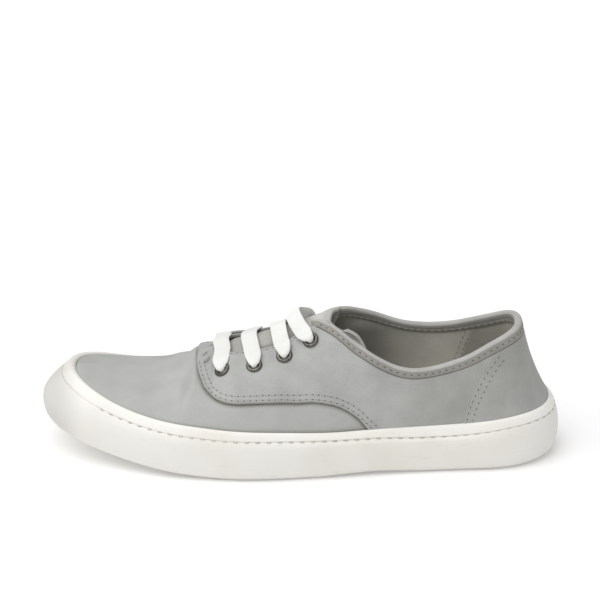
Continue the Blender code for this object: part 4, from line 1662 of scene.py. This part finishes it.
@dataclass
class Tongue:
    """The tongue: flanks inside the wall, an arch over the foot, and a free end with two wings."""

    form: ShoeForm
    canvas: Cloth
    thickness: float = 2.5
    edge: float = 1.2
    shoulder: float = 0.9
    shoulder_across: float = 0.54
    stations: int = 110
    flank: int = 18
    arch: int = 44
    free_rows: int = 44
    hem: float = 2.6
    hem_depth: float = 0.3
    hem_width: float = 0.6
    # Painted shade: along the edges, where the laces shade the throat, and on the wing inside the collar.
    edge_shade: float = 0.2
    edge_reach: float = 0.8
    throat_shade: Span = (0.38, 0.45)
    throat_side: Span = (-10.5, 3)
    throat_front: Span = (84, 10)
    throat_back: Span = (149, 8)
    wing_shade: Span = (0.2, 0.2)
    wing_side: Span = (-11, 4)
    wing_start: Span = (148, 6)

    def body(self) -> Array:
        """Work out the tongue up to the top eyelets: two flanks inside the wall and a bridge between them.

        The bridge runs straight from shoulder to shoulder, raised by a parabola to the height of the crest.

        Returns:
            The grid, lateral to medial.
        """
        foot_x = np.linspace(TONGUE["foot_x"][0], TONGUE["foot_x"][-1], self.stations)[:, None]
        around = self.form.around_at(foot_x)
        depth, side_up = curves(TONGUE, "foot_x", "depth side_up", foot_x)
        up = side_up + (self.shoulder - side_up) * np.linspace(0, 1, self.flank)
        lateral = self.form.skin(around, up, -depth)
        medial = self.form.skin(2 - around, up, -depth)[:, ::-1]
        share = np.linspace(0, 1, self.arch + 2)[None, 1:-1, None]
        bridge = lateral[:, -1:] * (1 - share) + medial[:, :1] * share
        middle = (lateral[:, -1] + medial[:, 0]) / 2
        crown = curve(TONGUE_CREST, "x", "height", middle[:, 0]) - middle[:, 2]
        bridge[..., 2] += crown[:, None] * (1 - (2 * share[..., 0] - 1) ** 2)
        return np.concatenate([lateral, bridge, medial], 1)

    def sheet(self) -> Array:
        """Work out the tongue's outer face, whose free end leaves the body straight and bends to its tip.

        Returns:
            The grid from foot to tip, lateral to medial.
        """
        body = self.body()
        last = body.shape[1] - 1
        known = (0, self.flank - 1, last - self.flank + 1, last)
        across = np.interp(np.arange(last + 1), known, (-1, -self.shoulder_across, self.shoulder_across, 1))
        x, flare, height = curves(TONGUE_END, "across", "x flare height", across)
        whole = np.stack([x, body[-1, :, 1] + flare, height], -1) - body[-1]
        start = unit(body[-1] - body[-3]) * np.linalg.norm(whole, axis=-1, keepdims=True)
        steps = (np.arange(1, self.free_rows + 1) / self.free_rows)[:, None, None]
        free = body[-1] + start * (steps - steps ** 2) + whole * steps ** 2
        return np.concatenate([body, free], 0)

    def build(self) -> bpy.types.Object:
        """Build the tongue as a closed slab with rolled edges and a stitched hem.

        Returns:
            The piece.
        """
        sheet = self.sheet()
        x, y = sheet[..., 0], sheet[..., 1]
        out = unit(np.cross(np.gradient(sheet, axis=0), np.gradient(sheet, axis=1)))
        away = edge_distance(sheet)
        half = self.thickness / 2 * rolled(away, self.edge)
        hem = self.hem_depth * bell(away - self.hem, self.hem_width)
        middle = sheet - out * self.thickness / 2
        # Painted shade along the edges, in the throat under the laces and on the wing.
        least, more = self.throat_shade
        throat = least + more * before(y, *self.throat_side)
        throat = throat * past(x, *self.throat_front) * before(x, *self.throat_back)
        least, more = self.wing_shade
        wing = (least + more * before(y, *self.wing_side)) * past(x, *self.wing_start)
        shade = np.maximum(np.maximum(self.edge_shade * bell(away, self.edge_reach), throat), wing)
        draft = MeshDraft()
        draft.add_grid(middle + out * (half - hem)[..., None], shade=shade)
        draft.add_grid(middle - out * half[..., None], turned=True, shade=PANEL_BACK_SHADE)
        piece = draft.build("tongue_canvas", self.form, self.canvas.material())
        return dressed(piece, "grey_canvas", "tongue")


@dataclass
class Eyelet:
    """A turned metal eyelet: a barrel through the cloth under a domed ring."""

    form: ShoeForm
    metal: bpy.types.Material
    side: Side
    number: int
    bore: float = 2.2
    barrel: float = 2.7
    flange: float = 4.2
    seat: float = 1.66
    dome_foot: float = 1.95
    dome: float = 0.75
    dome_steps: int = 16
    back: float = -2.1
    lip: float = 0.2
    barrel_edge: float = 0.1
    flange_edge: float = 0.15
    steps: int = 48

    def profile(self) -> Array:
        """Draw the turned section as a closed loop: a dome, the barrel's lip and back up to the ring's seat.

        Returns:
            The radius and the height of each point.
        """
        turn = np.linspace(0, np.pi, self.dome_steps)
        middle, half = (self.flange + self.bore) / 2, (self.flange - self.bore) / 2
        dome = np.stack([middle + half * np.cos(turn), self.dome_foot + self.dome * np.sin(turn)], 1)
        rest = [
            (self.bore, self.back + self.lip), (self.bore + self.lip, self.back),
            (self.barrel - self.barrel_edge, self.back), (self.barrel, self.back + self.lip),
            (self.barrel, self.seat), (self.flange - self.flange_edge, self.seat)]
        return np.concatenate([dome, rest, dome[:1]])

    def build(self) -> bpy.types.Object:
        """Build the eyelet by turning its section round its axis, which stands straight out of the wall.

        Returns:
            The piece.
        """
        around, up = (part[self.number - 1] for part in eyelet_places(self.form, self.side))
        upward, out = self.form.directions(around, up)
        beside = np.cross(upward, out)
        turn = np.arange(self.steps) * 2 * np.pi / self.steps
        spoke = np.cos(turn)[:, None] * beside + np.sin(turn)[:, None] * upward
        radius, height = np.split(self.profile()[None], 2, axis=-1)
        draft = MeshDraft()
        draft.add_grid(self.form.wall(around, up) + spoke[:, None] * radius + out * height, closed=True)
        name = f"eyelet_{self.side.value}_{self.number}"
        return dressed(draft.build(f"{name}_metal", self.form, self.metal), "dark_nickel", name)


LACES = rows_of("x height", (98.0, 59.0), (112.5, 62.2), (127.5, 68.6), (135.3, 75.2))
SLACK_BAR = 3
SLACK_STOPS = ((138.4, -14.2, 71.5), (135.3, -4.0, 75.2), (138.6, 2.2, 71.8))
SLACK_ACROSS = (0.77, 0.0, 0.64)
SLACK_FAR_ACROSS = (-0.1, -0.12, 0.98)
INNER_RUNS = (
    (Side.LATERAL, 0, 1, 0.0), (Side.MEDIAL, 0, 2, -2.2),
    (Side.MEDIAL, 1, 3, 2.2), (Side.LATERAL, 2, 3, 0.0))


def squared_off(wave: Array, power: float) -> Array:
    """Return a wave drawn out towards its two ends by a power below 1, with its sign kept."""
    return np.sign(wave) * np.abs(wave) ** power


@dataclass
class Lace:
    """The flat lace: four bars over the tongue that dive through the eyelets, and runs under the eyestay."""

    form: ShoeForm
    cotton: bpy.types.Material
    width: float = 8.5
    thickness: float = 1.2
    flat_power: float = 0.55
    high_power: float = 0.8
    bore_width: float = 3.3
    bore_thickness: float = 1.7
    bore_cupped: float = 1.0
    bore_foot: float = 2.6
    bore_middle: Span = (0.6, 1.1)
    bore_top: Span = (0.5, 0.6)
    over_eyelet: float = 3.5
    over_eyelet_far: float = 2.9
    over_reach: float = 2.6
    over_edge: float = 1.3
    open_from: float = 4.8
    open_length: float = 8.4
    twist_from: Span = (0.49, 0.1)
    slack_from: Span = (4, 12)
    run_depth: float = 2.4
    run_width: float = 3.8
    run_thickness: float = 0.8
    run_points: int = 40
    run_fade: float = 0.5
    points: int = 150
    ring: int = 28

    def end_stops(self, side: Side, number: int) -> Array:
        """Set a bar's stops at one end: up through the bore, then over the ring towards the throat.

        Args:
            side: The side of the shoe.
            number: The bar, counted from 0 at the toe end.

        Returns:
            The four stops.
        """
        around, up = (part[number] for part in eyelet_places(self.form, side))
        upward, out = self.form.directions(around, up)
        centre = self.form.wall(around, up)
        over = self.over_eyelet if side is Side.LATERAL else self.over_eyelet_far
        rise, lean = self.bore_middle
        drop, top_lean = self.bore_top
        return np.stack([
            centre - out * self.bore_foot, centre + out * rise - upward * lean,
            centre + out * (over - drop) - upward * top_lean, centre + out * over + upward * self.over_reach])

    def route(self, number: int) -> Array:
        """Lead a bar from its lateral eyelet across the tongue to its medial one.

        Args:
            number: The bar, counted from 0 at the toe end.

        Returns:
            The bar's line.
        """
        near, far = (self.end_stops(side, number) for side in Side)
        x, height = LACES["x"][number], LACES["height"][number]
        around = self.form.around_at(EYELETS["foot_x"][number])
        edges = self.form.wall(np.array([around, 2 - around]), np.ones(2)) + np.array([0, 0, self.over_edge])
        crest = np.array([x, edges[:, 1].mean(), height])
        edges[:, 0] += (x - edges[:, 0]) / 2
        middle = np.stack([edges[0], crest, edges[1]])
        if number == SLACK_BAR:
            near, far, middle = near[:-1], far[:-1], np.array(SLACK_STOPS)
        return smooth_line(np.concatenate([near, middle, far[::-1]]), self.points)

    def strip(self, line: Array, across: Array, width: Array, thickness: Array, cupped: Array) -> Array:
        """Carry a flat rounded section along a line.

        Args:
            line: The strip's middle line.
            across: The direction of its width at each point.
            width: Its width at each point.
            thickness: Its thickness at each point.
            cupped: How far its edges curl down at each point.

        Returns:
            The strip's points, as rings along the line.
        """
        heading = unit(np.gradient(line, axis=0))
        across = unit(across - (across * heading).sum(-1, keepdims=True) * heading)
        over = np.cross(across, heading)
        turn = np.linspace(0, 2 * np.pi, self.ring + 1)
        flat = squared_off(np.cos(turn), self.flat_power)
        high = squared_off(np.sin(turn), self.high_power)
        rise = thickness[:, None] / 2 * high - cupped[:, None] * flat ** 2
        reach = width[:, None] / 2 * flat
        return line[:, None] + across[:, None] * reach[..., None] + over[:, None] * rise[..., None]

    def row_direction(self) -> Array:
        """Return the direction along the row of eyelets at each bar."""
        middles = sum(self.form.wall(*eyelet_places(self.form, side)) for side in Side)
        return unit(np.gradient(middles, axis=0))

    def bar(self, number: int, direction: Array) -> bpy.types.Object:
        """Build one bar, which opens from its bores to its full width and, where it is slack, turns over.

        Args:
            number: The bar, counted from 0 at the toe end.
            direction: The direction of its width.

        Returns:
            The piece.
        """
        line = self.route(number)
        length = lengths_along(line)
        from_end = np.minimum(length, length[-1] - length)
        opened = np.sin(np.pi / 2 * np.clip((from_end - self.open_from) / self.open_length, 0, 1))
        width = self.bore_width + (self.width - self.bore_width) * opened
        thickness = self.bore_thickness + (self.thickness - self.bore_thickness) * opened
        across = np.broadcast_to(direction, line.shape)
        if number == SLACK_BAR:
            far = past(length / length[-1], *self.twist_from)[:, None]
            lean = np.array(SLACK_ACROSS) * (1 - far) + np.array(SLACK_FAR_ACROSS) * far
            across = across + (lean - across) * past(from_end, *self.slack_from)[:, None]
        rings = self.strip(line, across, width, thickness, self.bore_cupped * (1 - opened))
        draft = MeshDraft()
        draft.add_grid(rings)
        draft.add_caps(rings)
        LOG.info("lace bar: %.0f mm", length[-1])
        piece = draft.build(f"lace_strip_{number + 1}", self.form, self.cotton)
        return dressed(piece, "lace_cotton", f"lace_bar_{number + 1}")

    def inner_runs(self) -> bpy.types.Object:
        """Build the runs between eyelets, hidden under the eyestay, as flat strips inside the wall.

        Returns:
            The runs as one piece.
        """
        draft = MeshDraft()
        share = np.linspace(0, 1, self.run_points)
        even = np.ones(self.run_points)
        for side, first, last, shift in INNER_RUNS:
            places, heights = eyelet_places(self.form, side)
            around = places[first] + (places[last] - places[first]) * share
            up = np.interp(around, np.sort(places), heights[np.argsort(places)])
            upward, out = self.form.directions(around, up)
            line = self.form.wall(around, up) - out * self.run_depth
            line = line + upward * (shift * np.sin(np.pi * share) ** self.run_fade)[:, None]
            rings = self.strip(line, upward, even * self.run_width, even * self.run_thickness, even * 0)
            draft.add_grid(rings)
            draft.add_caps(rings)
            LOG.info("lace run: %.0f mm", lengths_along(line)[-1])
        return dressed(draft.build("lace_inner_runs", self.form, self.cotton), "lace_cotton")

    def build(self) -> list[bpy.types.Object]:
        """Return the four bars and the hidden runs, built."""
        bars = [self.bar(number, direction) for number, direction in enumerate(self.row_direction())]
        return bars + [self.inner_runs()]


@dataclass
class Stitching:
    """Rows of lockstitch: short arched threads with a small dark bead between each two, as painted shade in
    the needle hole.
    """

    form: ShoeForm
    thread: bpy.types.Material
    hole: bpy.types.Material
    stitch_share: float = 0.66
    radius: float = 0.27
    arched: float = 0.16
    hole_length: float = 1.25
    hole_radius: float = 0.38
    groove_pitch: float = 5.6
    groove_share: float = 0.5
    groove_radius: float = 0.48
    groove_arched: float = 0.1
    fine_points: int = 600
    along_steps: int = 7
    round_steps: int = 9

    def beads(self, at: Array, heading: Array, out: Array, length: float, radius: float,
              lift: float) -> Array:
        """Make small rounded threads as one tall grid: lines of rings that swell and arch in the middle.

        Args:
            at: Their middles.
            heading: The directions that they lie along.
            out: The directions out of the cloth.
            length: Their length.
            radius: Their radius in the middle.
            lift: How far the middle is arched up from the ends.

        Returns:
            The rings of all of them, one below the other.
        """
        share = np.linspace(-1, 1, self.along_steps)
        swell = radius * np.sqrt(np.maximum(1 - share ** 4, 0))
        turn = np.linspace(0, 2 * np.pi, self.round_steps)
        side = np.cross(out, heading)
        spine = (at[:, None] + heading[:, None] * (share * length / 2)[None, :, None]
                 + out[:, None] * (lift * (1 - share ** 2))[None, :, None])
        spoke = side[:, None] * np.cos(turn)[None, :, None] + out[:, None] * np.sin(turn)[None, :, None]
        rings = spine[:, :, None] + swell[None, :, None, None] * spoke[:, None]
        return rings.reshape(-1, self.round_steps, 3)

    def add(self, draft: MeshDraft, rings: Array) -> None:
        """Add rings of small threads to a mesh, leaving out the faces between one thread and the next.

        Args:
            draft: The mesh.
            rings: The rings of all the threads, one below the other.
        """
        keep = np.ones((len(rings) - 1, self.round_steps - 1), bool)
        keep[self.along_steps - 1::self.along_steps] = False
        draft.add_grid(rings, turned=True, keep=keep)

    def along(self, seam: SeamLine) -> tuple[Array, Array, Array]:
        """Place two points for each stitch along a row.

        Args:
            seam: The row.

        Returns:
            The points, their headings and the directions out of the cloth.
        """
        fine = seam.points(self.form, self.fine_points)
        count = 2 * max(int(lengths_along(fine)[-1] / seam.pitch), 2) + 1
        line = spread(fine, count)
        own = np.arange(len(seam.around))
        lengths = lengths_along(self.form.wall(seam.around, seam.up))
        index = np.interp(np.linspace(0, lengths[-1], count), lengths, own)
        around, up = (np.interp(index, own, part) for part in (seam.around, seam.up))
        return line, unit(np.gradient(line, axis=0)), self.form.directions(around, up)[1]

    def build(self, name: str, slot: str, seams: list[SeamLine], with_holes: bool = True) -> None:
        """Build the threads of some rows as one joined piece, and their needle holes as another.

        Args:
            name: What the pieces' names begin with.
            slot: Their material slot.
            seams: The rows.
            with_holes: Whether the needle holes show.
        """
        threads, holes = MeshDraft(), MeshDraft()
        for seam in seams:
            line, heading, out = self.along(seam)
            out = -out if seam.out < 0 else out
            places = np.stack([line - out * seam.pressed, heading, out])
            length = seam.pitch * self.stitch_share
            self.add(threads, self.beads(*places[:, 1::2], length, self.radius, self.arched))
            self.add(holes, self.beads(*places[:, 2:-1:2], self.hole_length, self.hole_radius, 0))
        dressed(threads.build(f"{name}_thread", self.form, self.thread), slot)
        if with_holes:
            dressed(holes.build(f"{name}_needle_holes", self.form, self.hole), slot)

    def build_groove(self, name: str, line: Array, out: Array) -> None:
        """Build the long stitches that lie in the sole's groove.

        Args:
            name: The piece's name.
            line: The groove's line.
            out: The directions out of the groove.
        """
        count = 2 * int(lengths_along(line)[-1] / self.groove_pitch) + 1
        at, away = spread(line, count), unit(spread(out, count))
        places = np.stack([at, unit(np.gradient(at, axis=0)), away])[:, 1::2]
        length = self.groove_pitch * self.groove_share
        draft = MeshDraft()
        self.add(draft, self.beads(*places, length, self.groove_radius, self.groove_arched))
        dressed(draft.build(name, self.form, self.thread), "offwhite_rubber")


@dataclass
class Studio:
    """A plain white table that glows a little, a soft light from above, and the photo's camera."""

    lens: float = 138
    sensor: float = 36
    camera_at: Triple = (-0.002466, -1.10835, 0.49422)
    camera_turn: Triple = (69.54, 0.0, -0.1)
    sky: float = 0.32
    key: float = 2.3
    key_from: Triple = (-0.34, -0.26, 1.0)
    key_spread: float = 70
    table_white: float = 0.9
    table_roughness: float = 0.9
    table_gloss: float = 0.1
    table_glow: float = 0.16
    table_size: float = 8.0

    def light(self) -> None:
        """Set up the white surround and the soft light from above."""
        world = bpy.data.worlds.new("studio")
        world.use_nodes = True
        surround = world.node_tree.nodes["Background"].inputs
        surround["Color"].default_value = (1, 1, 1, 1)
        surround["Strength"].default_value = self.sky
        bpy.context.scene.world = world
        lamp = bpy.data.lights.new("key", "SUN")
        lamp.energy = self.key
        lamp.angle = float(np.radians(self.key_spread))
        key = linked("key", lamp)
        key.location = self.key_from
        key.rotation_euler = (-key.location).to_track_quat("-Z", "Y").to_euler()

    def table(self) -> None:
        """Lay the white table."""
        half = self.table_size / 2
        corners = [(-half, -half, 0), (half, -half, 0), (half, half, 0), (-half, half, 0)]
        mesh = bpy.data.meshes.new("table")
        mesh.from_pydata(corners, [], [(0, 1, 2, 3)])
        mesh.materials.append(NodeSheet("white_table").finish(
            base_color=(self.table_white,) * 3 + (1,), roughness=self.table_roughness,
            specular_ior_level=self.table_gloss, emission_color=(1, 1, 1, 1),
            emission_strength=self.table_glow))
        linked("table", mesh)

    def camera(self) -> None:
        """Place the camera as it was fitted to the photo."""
        lens = bpy.data.cameras.new("camera")
        lens.lens = self.lens
        lens.sensor_width = self.sensor
        camera = linked("camera", lens)
        camera.location = self.camera_at
        camera.rotation_euler = tuple(np.radians(self.camera_turn))
        bpy.context.scene.camera = camera

    def build(self) -> None:
        """Set up the light, the table and the camera, with plain screen colours."""
        bpy.context.scene.view_settings.view_transform = "Standard"
        self.light()
        self.table()
        self.camera()


def main() -> None:
    """Build the studio and each part of the shoe in turn."""
    logging.basicConfig(level=logging.INFO, format="%(message)s")
    form = ShoeForm()
    rubber = Rubber("offwhite_rubber", (250, 248, 243))
    canvas = Cloth("grey_canvas_cloth", (184, 185, 182), mottle=0.06)
    panel = Cloth("grey_canvas_panel_cloth", (178, 179, 176))
    tape = Cloth("binding_tape_cloth", (186, 185, 181), thread=0.5)
    lining = Cloth("lining_cloth_brushed", (214, 212, 202), relief=0.03, shade_and_dirt=(70, 68, 62), sheen=0.2)
    cotton = Cloth("lace_cotton_weave", (241, 241, 238), mottle=0.04, shade_and_dirt=(170, 166, 158)).material()
    thread = Cloth("grey_thread", (176, 176, 172), thread=0.3, mottle=0.12).material()
    sole_thread = Cloth("sole_thread", (204, 200, 192), thread=0.4, mottle=0.12).material()
    # Painted shade: dark beads stand for the shade in the needle holes.
    needle_hole = Cloth("needle_hole_painted_shade", (112, 110, 105), thread=0.4).material()
    # Painted light: the tongue's canvas is lighter than the upper's, for the light on its free end.
    tongue_lit_canvas = Cloth("tongue_canvas_lit_cloth", (206, 206, 202))
    nickel = Plating("dark_nickel_plate", (112, 110, 104)).material()

    Studio().build()
    sole = Cupsole(form, rubber)
    sole.build()
    Stitching(form, sole_thread, needle_hole).build_groove("sole_groove_thread", *sole.groove())
    Insole(form, lining).build()
    quarters = [Quarter(form, panel, side) for side in Side]
    upper = Upper(form, canvas, lining, tuple(quarter.foot_line() for quarter in quarters))
    upper.build()
    stitching = Stitching(form, thread, needle_hole)
    stitching.build("lining", "lining_cloth", upper.lining_seams(), with_holes=False)
    for quarter in quarters:
        quarter.build()
        stitching.build(f"quarter_{quarter.side.value}", "grey_canvas_panel", quarter.seams())
        for number in range(1, len(EYELETS["up"]) + 1):
            Eyelet(form, nickel, quarter.side, number).build()
    counter = HeelCounter(form, panel)
    counter.build()
    stitching.build("heel_counter", "grey_canvas_panel", counter.seams())
    binding = CollarBinding(form, tape)
    binding.build()
    stitching.build("collar_tape", "binding_tape", binding.seams())
    Tongue(form, tongue_lit_canvas).build()
    Lace(form, cotton).build()


if __name__ == "__main__":
    main()
